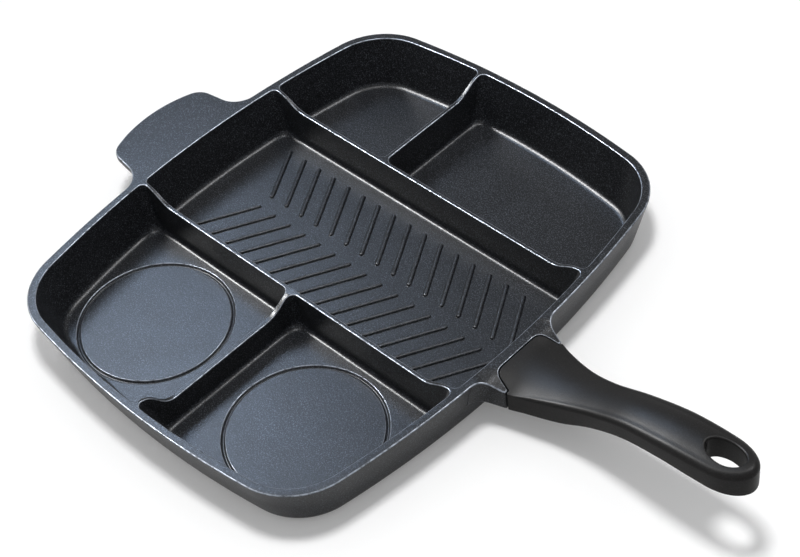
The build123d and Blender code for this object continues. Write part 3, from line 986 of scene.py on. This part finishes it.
def tab_and_socket_sides(shell, pan, fittings, grip, edge, kinds):
    """Sides and underside of the tab, then of the socket with its seat, down from the edge's lower ring."""

    def lower_edge(bottom):
        radius = pan.rim_rounding
        return [(radius * (1 - cos(a)), bottom + radius * (1 - sin(a))) for a in quarter(3)]

    def tab(z):
        return tab_path(pan, fittings, z)

    def whole_socket(z):
        return socket_path(pan, fittings, grip, z)[0]

    def outer_socket(z):
        points, in_notch = socket_path(pan, fittings, grip, z)
        return [point for point, hidden in zip(points, in_notch) if not hidden]

    tab_edge = [vertex for vertex, kind in zip(edge, kinds) if kind == "tab"]
    under = rows_down(shell, pan, tab, tab_edge, lower_edge(pan.height - fittings.tab_thickness))
    shell.cap(through_wall(shell, pan, under), up=False)

    chosen = [(vertex, kind) for vertex, kind in zip(edge, kinds) if kind in ("socket", "notch")]
    levels = [(0.0, pan.height + (fittings.seat_height - pan.height) * t) for t in (0.35, 0.7, 1.0)]
    seat = rows_down(shell, pan, whole_socket, [vertex for vertex, _ in chosen], levels)[1:-1]
    shell.cap([vertex for vertex, (_, kind) in zip(seat, chosen) if kind == "notch"][::-1])
    around = [vertex for vertex, (_, kind) in zip(seat, chosen) if kind == "socket"]
    under = rows_down(shell, pan, outer_socket, around, lower_edge(fittings.socket_bottom))
    shell.cap(through_wall(shell, pan, under), up=False)


def pan_shell(pan, dividers, fittings, grip):
    """The whole casting without its ribs."""
    shell = Shell()

    def top(x, y):
        return top_height(pan, dividers, fittings, x, y)

    rim = wall_plan(pan, pan.height)
    corner_turn = 1.3
    runs = (2 * rim.corner_centre[1], 2 * rim.corner_centre[0], pan.corner * corner_turn)
    steps = [steps_for(run) for run in runs]
    body, base = rim.outline(*steps), wall_plan(pan, 0.0).outline(*steps)

    # Edge of the rim, the tab and the socket
    outline, kinds = top_outline(pan, fittings, grip, between(body, base, pan.rim_rounding / pan.height))
    notch_rounding = 0.45 * MM
    radii = [notch_rounding if kind == "notch" else pan.rim_rounding for kind in kinds]
    tops = [top(x - nx * r, y - ny * r) for (x, y, nx, ny), r in zip(outline, radii)]
    edge_top, edge_side = rounded_edge(shell, outline, tops, radii)

    # Compartments. The two front ones have a circular groove in their floor
    grooves = groove_circles(pan, dividers)
    margin = 0.7 * dividers.ring_width
    holes, floors = [], []
    for number, (rim_loop, floor_loop) in enumerate(compartment_outlines(pan, dividers)):
        circle = (grooves[number][0], grooves[number][1] + margin) if number in grooves else None
        top_ring, floor_ring = compartment_rings(shell, pan, dividers, top, rim_loop, floor_loop, circle)
        holes.append(top_ring)
        floors.append(floor_ring)

    # The level top between them, with a row of points across the socket, just past the flat rim
    past_rim = rim.end_centre + rim.end_radius + 0.6 * MM
    shell.fill(edge_top, holes, [(past_rim, place * 3 * MM) for place in range(-7, 8)], top)

    # Floors
    for number, floor_ring in enumerate(floors):
        if number in grooves:
            outer, inner = groove_rings(
                shell, *grooves[number], dividers.ring_width, dividers.ring_depth, pan.floor_thickness
            )
            shell.fill(floor_ring, [outer])
            shell.cap(inner)
        else:
            shell.cap(floor_ring)

    outer_wall(shell, pan, body, base)
    tab_and_socket_sides(shell, pan, fittings, grip, edge_side, kinds)
    return shell


# The handle


def grip_stations(pan, fittings, grip):
    """Cross-sections along the handle: x, half width, underside, shoulder, crown and shoulder rounding.

    The rows below give whole widths and heights above the rim, in millimetres.
    """
    start, tip = PAN_HIGH.x, GRIP_HIGH.x
    rim = pan.height
    end_width = grip.end_width / MM
    tip_start = tip - grip.tip_length
    run = tip_start - start
    rows = (
        (start - fittings.socket_reach, 63.5, -21.7, -0.1, 0.0, 0.45),
        (start, 53.8, -21.7, -6.3, -1.0, 0.6),
        (start + 0.12 * run, 44.0, -21.0, -4.6, 0.1, 2.5),
        (start + 0.26 * run, 34.9, -16.9, 0.2, 4.5, 3.5),
        (start + 0.40 * run, 30.3, -7.0, 7.2, 11.5, 4.0),
        (start + 0.58 * run, 30.4, 4.0, 16.8, 21.6, 4.5),
        (start + 0.78 * run, 33.0, 10.4, 23.2, 28.5, 5.0),
        (tip_start - 0.38 * grip.tip_length, 32.9, 11.4, 25.5, 31.0, 5.0),
        (tip_start + 0.12 * grip.tip_length, end_width, 11.5, 26.2, 31.9, 5.0),
        (tip_start + 0.56 * grip.tip_length, end_width, 11.5, 26.3, 32.0, 4.8),
        (tip, end_width, 11.5, 26.1, 31.7, grip.tip_rounding / MM),
    )
    return [
        (x, width / 2 * MM, rim + foot * MM, rim + shoulder * MM, rim + crown * MM, rounding * MM)
        for x, width, foot, shoulder, crown, rounding in rows
    ]


def smooth_between(rows, x):
    """The values of the rows at x, on a smooth curve through them."""
    k = 0
    while k < len(rows) - 2 and x > rows[k + 1][0]:
        k += 1
    run = rows[k + 1][0] - rows[k][0]
    t = min(max((x - rows[k][0]) / run, 0.0), 1.0)

    def rise_at(i, column):
        low, high = max(i - 1, 0), min(i + 1, len(rows) - 1)
        return (rows[high][column] - rows[low][column]) / (rows[high][0] - rows[low][0]) * run

    return [
        (2 * t**3 - 3 * t**2 + 1) * rows[k][column]
        + (t**3 - 2 * t**2 + t) * rise_at(k, column)
        + (3 * t**2 - 2 * t**3) * rows[k + 1][column]
        + (t**3 - t**2) * rise_at(k + 1, column)
        for column in range(1, len(rows[0]))
    ]


def with_normals(points):
    """Outline points with a normal out of a counter-clockwise outline, from their neighbours."""
    found = []
    for (px, py), (x, y), (qx, qy) in zip(points[-1:] + points[:-1], points, points[1:] + points[:1]):
        dx, dy = qx - px, qy - py
        size = hypot(dx, dy)
        found.append((x, y, dy / size, -dx / size))
    return found


def grip_shell(pan, fittings, grip):
    """The handle: its tongue, the long grip and the rounded end with the hanging hole."""
    shell = Shell()
    rows = grip_stations(pan, fittings, grip)
    start = PAN_HIGH.x + fittings.seam
    tip = GRIP_HIGH.x
    tip_start = tip - grip.tip_length
    hole_x = tip - grip.hole_margin - grip.hole_length / 2

    def half_width(x):
        half = smooth_between(rows, min(x, tip_start))[0]
        if x <= tip_start:
            return half
        return half * sqrt(max(1 - ((x - tip_start) / grip.tip_length) ** 2, 0.0))

    def crown(x, y):
        half, _, shoulder, top, _ = smooth_between(rows, x)
        return top - bow_drop(top - shoulder, half, y)

    def underside(x, _=0.0):
        if x < start - fittings.seam / 2:
            return TONGUE_LOW.z
        return smooth_between(rows, x)[1]

    # Outline from above: tongue, shoulders at the seam, sides and rounded end
    (front_x, front_half), (back_x, back_half, back_corner) = tongue_corners(grip, 0.0, start)
    sides = steps_for(tip_start - start, 2 * SPACING)
    side_x = [start + (tip_start - start) * i / sides for i in range(1, sides + 1)]
    end_half, end_steps = half_width(tip_start), 40
    right = [(x, -half_width(x)) for x in side_x]
    right += [
        (tip_start + grip.tip_length * sin(a), -end_half * cos(a)) for a in quarter(end_steps)[1:-1]
    ]
    seam_corner, tongue_front_corner = 0.6 * MM, 0.2 * MM
    lead = [
        (back_x, 0.0, 0.0),
        (back_x, -back_half, back_corner),
        (front_x, -front_half, tongue_front_corner),
        (start, -half_width(start), seam_corner),
        (*right[0], 0.0),
    ]
    lower = [(x, y) for x, y, _, _ in rounded_path(lead)] + right
    points = with_normals(lower + [(tip, 0.0)] + [(x, -y) for x, y in lower[:0:-1]])

    # Its edges are nearly sharp at the seam and grow round beyond it
    growth = 12 * MM
    radii, tops, bottoms, under_radii = [], [], [], []
    for x, y, nx, ny in points:
        rounding = smooth_between(rows, x)[4]
        blend = ease((x - start - seam_corner) / growth)
        radius = grip.seam_rounding + (rounding - grip.seam_rounding) * blend
        radii.append(radius)
        tops.append(crown(x - nx * radius, y - ny * radius))
        under_radii.append(grip.seam_rounding + (grip.under_rounding - grip.seam_rounding) * blend)
        bottoms.append(underside(x))
    top_ring, side_ring = rounded_edge(shell, points, tops, radii, steps=7)
    low_ring, low_side = rounded_edge(shell, points, bottoms, under_radii, sign=-1)
    shell.band(side_ring, low_side)

    # Hanging hole
    hole_steps = 72
    hole = []
    for i in range(hole_steps):
        a = 2 * pi * i / hole_steps
        x, y = grip.hole_length / 2 * cos(a), grip.hole_width / 2 * sin(a)
        nx, ny = cos(a) / grip.hole_length, sin(a) / grip.hole_width
        size = hypot(nx, ny)
        hole.append((hole_x + x, y, -nx / size, -ny / size))
    edge = grip.hole_rounding
    edges = [edge] * hole_steps
    hole_tops = [crown(x - nx * edge, y - ny * edge) for x, y, nx, ny in hole]
    hole_lows = [underside(x) for x, _, _, _ in hole]
    hole_top, upper_side = rounded_edge(shell, hole, hole_tops, edges, wear_and_highlight=0.8, hollow=True)
    hole_low, lower_side = rounded_edge(shell, hole, hole_lows, edges, sign=-1, wear_and_highlight=0.8, hollow=True)
    shell.band(upper_side, lower_side, inwards=True)

    # Crowned top and underside, with rows of points that follow the handle
    pitch, across, least_room = 3 * MM, 4, 1.5 * MM
    off_back, off_tip, off_side, off_hole = 2 * MM, 7 * MM, 1.2 * MM, 2.6 * MM
    clear_x, clear_y = grip.hole_length / 2 + off_hole, grip.hole_width / 2 + off_hole
    extra = []
    for i in range(1, int((tip - back_x) / pitch)):
        x = back_x + i * pitch
        half = half_width(x) if x > start else back_half - off_back
        room = half - smooth_between(rows, x)[4] - off_side
        for y in (k / across * room for k in range(-across, across + 1)):
            off_the_hole = hypot((x - hole_x) / clear_x, y / clear_y) > 1
            if room > least_room and off_the_hole and back_x + off_back < x < tip - off_tip:
                extra.append((x, y))
    shell.fill(top_ring, [hole_top], extra, crown)
    beyond_seam = [(x, y) for x, y in extra if x > start + off_back]
    shell.fill(low_ring, [hole_low], beyond_seam, underside, up=False)
    return shell


# Shader groups


def feed(tree, socket, source):
    """Link a socket to another one, or set its value."""
    if isinstance(source, bpy.types.NodeSocket):
        tree.links.new(source, socket)
    else:
        socket.default_value = source


def new_group(name, inputs, outputs):
    """An empty shader node group for numbers, with its given values and its results."""
    group = bpy.data.node_groups.new(name, "ShaderNodeTree")
    for label, default in inputs.items():
        socket = group.interface.new_socket(label, in_out="INPUT", socket_type="NodeSocketFloat")
        socket.default_value = default
    for label in outputs:
        group.interface.new_socket(label, in_out="OUTPUT", socket_type="NodeSocketFloat")
    return group, group.nodes.new("NodeGroupInput").outputs, group.nodes.new("NodeGroupOutput").inputs


def math_node(tree, operation, a, b, clamp=False):
    """A Math node of two numbers or sockets, and its output."""
    node = tree.nodes.new("ShaderNodeMath")
    node.operation = operation
    node.use_clamp = clamp
    feed(tree, node.inputs[0], a)
    feed(tree, node.inputs[1], b)
    return node.outputs[0]


def scaled(tint, by):
    """A colour made darker or lighter."""
    return [by * part for part in tint]


def mix_colour(tree, factor, a, b):
    """A colour Mix node, and its output. The node also has sockets for other kinds, which are left out."""
    node = tree.nodes.new("ShaderNodeMix")
    node.data_type = "RGBA"
    feed(tree, node.inputs[0], factor)
    for socket, value in ((node.inputs[6], a), (node.inputs[7], b)):
        feed(tree, socket, value if isinstance(value, bpy.types.NodeSocket) else (*value, 1.0))
    return node.outputs[2]


def ramp(tree, value, low, high):
    """A value stretched from low..high to 0..1, smoothly."""
    node = tree.nodes.new("ShaderNodeMapRange")
    node.interpolation_type = "SMOOTHSTEP"
    tree.links.new(value, node.inputs["Value"])
    node.inputs["From Min"].default_value = low
    node.inputs["From Max"].default_value = high
    return node.outputs["Result"]


def object_place(tree):
    """The Object coordinates of a point."""
    return tree.nodes.new("ShaderNodeTexCoord").outputs["Object"]


def noise(tree, place, scale, detail=2.0, roughness=0.5):
    """A Noise texture at a place, and its value."""
    node = tree.nodes.new("ShaderNodeTexNoise")
    for label, source in (("Vector", place), ("Scale", scale), ("Detail", detail), ("Roughness", roughness)):
        feed(tree, node.inputs[label], source)
    return node.outputs["Fac"]


def fleck_group(name):
    """Fine flecks of several sizes: a mask, with cloudy patches that carry more or fewer of them."""
    group, given, result = new_group(
        name, {"Scale": 900.0, "Amount": 0.35, "Patchiness": 0.3}, ("Flecks", "Clouds")
    )
    place = object_place(group)
    cells = group.nodes.new("ShaderNodeTexVoronoi")
    feed(group, cells.inputs["Vector"], place)
    feed(group, cells.inputs["Scale"], given["Scale"])
    dots = ramp(group, cells.outputs["Distance"], low=0.42, high=0.12)
    dots = math_node(group, "MULTIPLY", dots, cells.outputs["Color"])
    specks = noise(group, place, math_node(group, "MULTIPLY", given["Scale"], 0.9), detail=1.0)
    both = math_node(group, "MAXIMUM", dots, ramp(group, specks, low=0.52, high=0.72))
    clouds = ramp(group, noise(group, place, scale=22.0, detail=3.0, roughness=0.6), low=0.3, high=0.7)
    spread = math_node(group, "MULTIPLY", math_node(group, "SUBTRACT", clouds, 0.5), given["Patchiness"])
    amount = math_node(group, "ADD", given["Amount"], spread)
    feed(group, result["Flecks"], math_node(group, "MULTIPLY", both, amount, clamp=True))
    feed(group, result["Clouds"], clouds)
    return group


def grain_group(name):
    """A fine sprayed or moulded grain, for bump, and a slow waviness, for roughness."""
    group, given, result = new_group(name, {"Scale": 1500.0}, ("Height", "Waviness"))
    place = object_place(group)
    fine = noise(group, place, given["Scale"], roughness=0.6)
    coarse = noise(group, place, math_node(group, "MULTIPLY", given["Scale"], 0.28))
    fine = math_node(group, "MULTIPLY", fine, 0.7)
    coarse = math_node(group, "MULTIPLY", coarse, 0.3)
    feed(group, result["Height"], math_node(group, "ADD", fine, coarse))
    feed(group, result["Waviness"], noise(group, place, scale=60.0))
    return group


def wear_and_highlight_group(name):
    """Light wear and a painted highlight along the edges marked in the mesh, broken up by noise."""
    group, given, result = new_group(name, {"Amount": 0.4, "Scale": 260.0}, ("Wear",))
    mark = group.nodes.new("ShaderNodeAttribute")
    mark.attribute_name = "edge"
    patches = noise(group, object_place(group), given["Scale"], detail=3.0, roughness=0.65)
    worn_and_highlit = math_node(group, "MULTIPLY", mark.outputs["Fac"], ramp(group, patches, low=0.2, high=0.6))
    feed(group, result["Wear"], math_node(group, "MULTIPLY", worn_and_highlit, given["Amount"], clamp=True))
    return group


GROUPS = {"Mineral flecks": fleck_group, "Surface grain": grain_group, "Edge wear": wear_and_highlight_group}


def placed(tree, name, **values):
    """A group node's outputs, with its values set. The first material that has the group builds it."""
    node = tree.nodes.new("ShaderNodeGroup")
    node.node_tree = bpy.data.node_groups.get(name) or GROUPS[name](name)
    for label, value in values.items():
        node.inputs[label].default_value = value
    return node.outputs


def new_material(name):
    """A material with only a Principled shader."""
    material = bpy.data.materials.new(name)
    material.use_nodes = True
    return material, material.node_tree, material.node_tree.nodes["Principled BSDF"]


def bump(tree, shader, height, strength, distance):
    """A Bump node that feeds the shader's normal."""
    node = tree.nodes.new("ShaderNodeBump")
    node.inputs["Strength"].default_value = strength
    node.inputs["Distance"].default_value = distance
    feed(tree, node.inputs["Height"], height)
    feed(tree, shader.inputs["Normal"], node.outputs["Normal"])


def vary_roughness(tree, shader, value, mean, spread):
    """Roughness that follows a value from 0 to 1, over a spread about its mean."""
    node = tree.nodes.new("ShaderNodeMath")
    node.operation = "MULTIPLY_ADD"
    for socket, source in zip(node.inputs, (value, spread, mean - spread / 2)):
        feed(tree, socket, source)
    feed(tree, shader.inputs["Roughness"], node.outputs[0])


def coating_material(finish):
    """The pan's non-stick coating: nearly black, with fine pearly flecks and a sprayed grain."""
    material, tree, shader = new_material("Speckled coating")
    flecks = placed(tree, "Mineral flecks", Scale=1350.0, Amount=0.17, Patchiness=0.04)
    grain = placed(tree, "Surface grain", Scale=850.0)
    # Along the marked edges, wear and a painted highlight: a lighter colour that is also metallic, so the
    # rounded edges show bright lines
    wear_and_highlight = placed(tree, "Edge wear", Amount=0.45, Scale=320.0)
    base = mix_colour(tree, flecks["Clouds"], scaled(finish.coating, 0.85), scaled(finish.coating, 1.15))
    speckled = mix_colour(tree, flecks["Flecks"], base, finish.coating_fleck)
    worn_and_highlit = mix_colour(tree, wear_and_highlight["Wear"], speckled, scaled(finish.coating_fleck, 1.8))
    feed(tree, shader.inputs["Base Color"], worn_and_highlit)
    shine = math_node(tree, "MULTIPLY", flecks["Flecks"], 0.6)
    feed(tree, shader.inputs["Metallic"], math_node(tree, "ADD", shine, wear_and_highlight["Wear"], clamp=True))
    vary_roughness(tree, shader, grain["Waviness"], finish.coating_roughness, spread=0.08)
    shader.inputs["Specular IOR Level"].default_value = 0.12
    bump(tree, shader, grain["Height"], strength=1.0, distance=0.12 * MM)
    return material


def grip_material(finish):
    """The handle's moulded phenolic: black, with filler grains and a fine eroded texture."""
    material, tree, shader = new_material("Moulded phenolic")
    flecks = placed(tree, "Mineral flecks", Scale=1300.0, Amount=0.6, Patchiness=0.2)
    grain = placed(tree, "Surface grain", Scale=1300.0)
    # Along the marked edges, wear and a faint painted highlight: a slightly lighter colour
    wear_and_highlight = placed(tree, "Edge wear", Amount=0.25, Scale=420.0)
    base = mix_colour(tree, flecks["Clouds"], scaled(finish.grip, 0.9), scaled(finish.grip, 1.1))
    speckled = mix_colour(tree, flecks["Flecks"], base, finish.grip_fleck)
    feed(tree, shader.inputs["Base Color"], mix_colour(tree, wear_and_highlight["Wear"], speckled, finish.grip_fleck))
    vary_roughness(tree, shader, grain["Waviness"], finish.grip_roughness, spread=0.12)
    shader.inputs["Specular IOR Level"].default_value = 0.07
    bump(tree, shader, grain["Height"], strength=1.0, distance=0.1 * MM)
    return material


def metal_material(name, base, roughness):
    """A plated or turned metal: fine grained and a little stained."""
    material, tree, shader = new_material(name)
    grain = placed(tree, "Surface grain", Scale=2400.0)
    flecks = placed(tree, "Mineral flecks", Scale=500.0, Amount=0.3, Patchiness=0.4)
    feed(tree, shader.inputs["Base Color"], mix_colour(tree, flecks["Flecks"], base, scaled(base, 0.6)))
    shader.inputs["Metallic"].default_value = 1.0
    vary_roughness(tree, shader, grain["Height"], roughness, spread=0.2)
    bump(tree, shader, grain["Height"], strength=0.15, distance=0.03 * MM)
    return material


# Grill ribs


def rib_shell(ribs, dividers, pan):
    """One rib along Y with a crowned top, round ends and a soft foot, and its reach across its row."""
    half_grill = dividers.grill_width / 2 - divider_half(dividers, pan.floor_thickness)
    reach = half_grill - ribs.side_margin - ribs.gap / 2
    half_run = reach / cos(ribs.angle) / 2
    half = ribs.width / 2
    foot = [(half + 0.35 * MM, -0.02 * MM), (half + 0.1 * MM, 0.06 * MM), (half, 0.25 * MM)]
    widening = 0.02 * MM
    turns = (0.35, 0.6, 0.85, 1.1, 1.35, 1.5)
    crown = [(half * cos(turn) + widening, ribs.height * sin(turn)) for turn in turns]
    side_steps, end_steps, top_wear_and_highlight = 12, 10, 0.06
    shell = Shell()
    rings = []
    for out, up in foot + crown:
        row = line((out, -half_run), (out, half_run), side_steps)
        row += arc((0, half_run), out, 0, pi, end_steps)
        row += line((-out, half_run), (-out, -half_run), side_steps)
        row += arc((0, -half_run), out, pi, 2 * pi, end_steps)
        # A faint mark on the rib's crown paints a thin highlight there, with some wear
        wear_and_highlight = top_wear_and_highlight if up > MM else 0.0
        rings.append(shell.ring([(x, y, pan.floor_thickness + up) for x, y, _, _ in row], wear_and_highlight))
    _, top = shell.bands(rings, inwards=True)
    shell.cap(top)
    return shell, reach


def rib_tree():
    """Geometry Nodes: two mirrored rows of one rib, set across the grill at an angle."""
    tree = bpy.data.node_groups.new("Grill ribs", "GeometryNodeTree")
    sockets = {
        "Rib": "NodeSocketObject",
        "Count": "NodeSocketInt",
        "Pitch": "NodeSocketFloat",
        "Angle": "NodeSocketFloat",
        "Shift": "NodeSocketFloat",
        "Front row": "NodeSocketFloat",
        "Back row": "NodeSocketFloat",
        "Material": "NodeSocketMaterial",
    }
    tree.interface.new_socket("Geometry", in_out="INPUT", socket_type="NodeSocketGeometry")
    for label, kind in sockets.items():
        tree.interface.new_socket(label, in_out="INPUT", socket_type=kind)
    tree.interface.new_socket("Geometry", in_out="OUTPUT", socket_type="NodeSocketGeometry")
    new, link = tree.nodes.new, tree.links.new
    given, result = new("NodeGroupInput").outputs, new("NodeGroupOutput").inputs

    def vector(x=0.0, y=0.0, z=0.0):
        node = new("ShaderNodeCombineXYZ")
        for socket, source in zip(node.inputs, (x, y, z)):
            feed(tree, socket, source)
        return node.outputs[0]

    rib = new("GeometryNodeObjectInfo")
    link(given["Rib"], rib.inputs["Object"])
    run = math_node(tree, "MULTIPLY", math_node(tree, "SUBTRACT", given["Count"], 1.0), given["Pitch"])
    first_x = math_node(tree, "SUBTRACT", given["Shift"], math_node(tree, "DIVIDE", run, 2.0))
    rows = new("GeometryNodeJoinGeometry")
    for label, turn in (("Front row", -1.0), ("Back row", 1.0)):
        points = new("GeometryNodeMeshLine")
        link(given["Count"], points.inputs["Count"])
        link(vector(first_x, given[label]), points.inputs["Start Location"])
        link(vector(given["Pitch"]), points.inputs["Offset"])
        instances = new("GeometryNodeInstanceOnPoints")
        link(points.outputs["Mesh"], instances.inputs["Points"])
        link(rib.outputs["Geometry"], instances.inputs["Instance"])
        link(vector(z=math_node(tree, "MULTIPLY", given["Angle"], turn)), instances.inputs["Rotation"])
        link(instances.outputs["Instances"], rows.inputs["Geometry"])
    real = new("GeometryNodeRealizeInstances")
    finish = new("GeometryNodeSetMaterial")
    link(rows.outputs["Geometry"], real.inputs["Geometry"])
    link(real.outputs["Geometry"], finish.inputs["Geometry"])
    link(given["Material"], finish.inputs["Material"])
    link(finish.outputs["Geometry"], result["Geometry"])
    return tree


def grown(name, tree, values):
    """A plain mesh object from a Geometry Nodes tree with its named inputs set."""
    obj = bpy.data.objects.new(name, bpy.data.meshes.new(name))
    bpy.context.scene.collection.objects.link(obj)
    modifier = obj.modifiers.new("Nodes", "NODES")
    modifier.node_group = tree
    for item in tree.interface.items_tree:
        if item.item_type == "SOCKET" and item.in_out == "INPUT" and item.name in values:
            modifier[item.identifier] = values[item.name]
    return baked(obj)


# Operators


def seat_piece(obj, node):
    """The finished piece rides on the pan's only body."""
    if node:
        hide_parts(node)
    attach(obj, "root")


class SKILLET_OT_pan_casting(bpy.types.Operator):
    """Build the casting: walls, dividers, floors, grooves, tab and socket"""

    bl_idname = "skillet.pan_casting"
    bl_label = "Pan casting"

    def execute(self, context):
        scene = context.scene
        coating = coating_material(scene.skillet_finish)
        shell = pan_shell(
            scene.skillet_pan, scene.skillet_dividers, scene.skillet_fittings, scene.skillet_grip
        )
        seat_piece(shell.piece("coated_pan", coating), "pan_casting")
        return {"FINISHED"}


class SKILLET_OT_grill_ribs(bpy.types.Operator):
    """Build the two rows of ribs on the grill's floor"""

    bl_idname = "skillet.grill_ribs"
    bl_label = "Grill ribs"

    def execute(self, context):
        ribs, dividers = context.scene.skillet_ribs, context.scene.skillet_dividers
        coating = bpy.data.materials["Speckled coating"]
        shell, reach = rib_shell(ribs, dividers, context.scene.skillet_pan)
        rib = shell.piece("one_rib", coating)
        row = (ribs.gap + reach) / 2
        rows = grown(
            "grill_ribs",
            rib_tree(),
            {
                "Rib": rib,
                "Count": ribs.count,
                "Pitch": ribs.pitch,
                "Angle": ribs.angle,
                "Shift": ribs.shift,
                "Front row": dividers.grill_offset - row,
                "Back row": dividers.grill_offset + row,
                "Material": coating,
            },
        )
        bpy.data.objects.remove(rib)
        seat_piece(rows, None)
        return {"FINISHED"}


class SKILLET_OT_handle_grip(bpy.types.Operator):
    """Build the moulded handle"""

    bl_idname = "skillet.handle_grip"
    bl_label = "Handle"

    def execute(self, context):
        scene = context.scene
        phenolic = grip_material(scene.skillet_finish)
        shell = grip_shell(scene.skillet_pan, scene.skillet_fittings, scene.skillet_grip)
        seat_piece(shell.piece("moulded_handle", phenolic), "handle_grip")
        return {"FINISHED"}


class SKILLET_OT_fixings(bpy.types.Operator):
    """Give the screws, washers and inserts their metal"""

    bl_idname = "skillet.fixings"
    bl_label = "Fixings"

    def execute(self, context):
        finish = context.scene.skillet_finish
        steel = metal_material("Zinc plated steel", finish.steel, roughness=0.34)
        brass = metal_material("Turned brass", finish.brass, roughness=0.3)
        for name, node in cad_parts.items():
            metal = brass if "insert" in name else steel
            if name not in ("pan_casting", "handle_grip"):
                node.data.materials.clear()
                node.data.materials.append(metal)
        return {"FINISHED"}


def lamp(name, place, side, power, tint=(1.0, 1.0, 1.0), lights_matt=False):
    """A square area lamp that looks at the origin. Unless it lights matt surfaces, it only gives gloss."""
    data = bpy.data.lights.new(name, "AREA")
    data.size = side
    data.energy = power
    data.color = tint
    obj = bpy.data.objects.new(name, data)
    obj.location = place
    obj.rotation_mode = "QUATERNION"
    obj.rotation_quaternion = (-Vector(place)).to_track_quat("-Z", "Y")
    obj.visible_camera = False
    obj.visible_diffuse = lights_matt
    bpy.context.scene.collection.objects.link(obj)


def direct_view(tree):
    """1 where a surface is seen itself or through gloss or glass, and 0 where it only gives light."""
    path = tree.nodes.new("ShaderNodeLightPath").outputs
    seen = math_node(tree, "MAXIMUM", path["Is Camera Ray"], path["Is Glossy Ray"])
    return math_node(tree, "MAXIMUM", seen, path["Is Transmission Ray"])


def floor_material():
    """A white studio floor that keeps the pan's shadow and is white to the camera."""
    material, tree, shader = new_material("Studio floor")
    patches = noise(tree, object_place(tree), scale=3.0)
    feed(tree, shader.inputs["Base Color"], mix_colour(tree, patches, (0.88, 0.88, 0.885), (0.9, 0.9, 0.9)))
    shader.inputs["Roughness"].default_value = 0.9
    shader.inputs["Specular IOR Level"].default_value = 0.1
    shader.inputs["Emission Color"].default_value = (1.0, 1.0, 1.0, 1.0)
    glow = 0.12
    feed(tree, shader.inputs["Emission Strength"], math_node(tree, "MULTIPLY", direct_view(tree), glow))
    return material


class SKILLET_OT_studio(bpy.types.Operator):
    """Set the floor, the lamps and the camera"""

    bl_idname = "skillet.studio"
    bl_label = "Studio"

    def execute(self, context):
        studio = context.scene.skillet_studio
        half = studio.floor_size / 2
        corners = [(-half, -half, 0), (half, -half, 0), (half, half, 0), (-half, half, 0)]
        mesh = bpy.data.meshes.new("studio_floor")
        mesh.from_pydata(corners, [], [(0, 1, 2, 3)])
        mesh.materials.append(floor_material())
        floor = bpy.data.objects.new("studio_floor", mesh)
        context.scene.collection.objects.link(floor)

        lamp("Sheen lamp", studio.sheen_place, studio.sheen_size, studio.sheen_power, studio.sheen_tint)
        lamp("Left softbox", studio.left_place, studio.softbox_size, studio.left_power)
        lamp("Back softbox", studio.back_place, studio.softbox_size, studio.back_power)
        lamp("Top lamp", studio.top_place, studio.top_size, studio.top_power, lights_matt=True)

        world = bpy.data.worlds.new("Studio")
        context.scene.world = world
        world.use_nodes = True
        tree = world.node_tree
        background = tree.nodes["Background"]
        background.inputs["Color"].default_value = (1.0, 1.0, 1.0, 1.0)
        rest = math_node(tree, "MULTIPLY", direct_view(tree), 1.0 - studio.world_strength)
        feed(tree, background.inputs["Strength"], math_node(tree, "ADD", rest, studio.world_strength))

        data = bpy.data.cameras.new("Photo camera")
        data.sensor_width = 36.0
        data.lens = studio.focal_length
        data.shift_x, data.shift_y = studio.shift_x, studio.shift_y
        data.clip_start, data.clip_end = 0.01, 100.0
        camera = bpy.data.objects.new("Photo camera", data)
        camera.location = studio.camera_place
        camera.rotation_euler = studio.camera_turn
        context.scene.collection.objects.link(camera)
        context.scene.camera = camera
        context.scene.view_settings.view_transform = "Standard"
        return {"FINISHED"}


class SKILLET_PT_build(bpy.types.Panel):
    """Steps that build the skillet"""

    bl_label = "Divided skillet"
    bl_idname = "SKILLET_PT_build"
    bl_space_type = "VIEW_3D"
    bl_region_type = "UI"
    bl_category = "Skillet"

    def draw(self, context):
        for operator in OPERATORS:
            self.layout.operator(operator.bl_idname)
        for name in SIZE_GROUPS:
            group = getattr(context.scene, name)
            box = self.layout.box()
            for prop in group.bl_rna.properties:
                if prop.identifier not in ("rna_type", "name"):
                    box.prop(group, prop.identifier)


OPERATORS = (
    SKILLET_OT_pan_casting,
    SKILLET_OT_grill_ribs,
    SKILLET_OT_handle_grip,
    SKILLET_OT_fixings,
    SKILLET_OT_studio,
)


def register():
    """Register the sizes, the operators and the panel."""
    for name, group in SIZE_GROUPS.items():
        bpy.utils.register_class(group)
        setattr(bpy.types.Scene, name, PointerProperty(type=group))
    for cls in (*OPERATORS, SKILLET_PT_build):
        bpy.utils.register_class(cls)


def unregister():
    """Take them out again."""
    for cls in (SKILLET_PT_build, *reversed(OPERATORS)):
        bpy.utils.unregister_class(cls)
    for name, group in reversed(list(SIZE_GROUPS.items())):
        delattr(bpy.types.Scene, name)
        bpy.utils.unregister_class(group)


def main():
    """Build every piece in order."""
    register()
    bpy.ops.skillet.pan_casting()
    bpy.ops.skillet.grill_ribs()
    bpy.ops.skillet.handle_grip()
    bpy.ops.skillet.fixings()
    bpy.ops.skillet.studio()


if __name__ == "__main__":
    main()
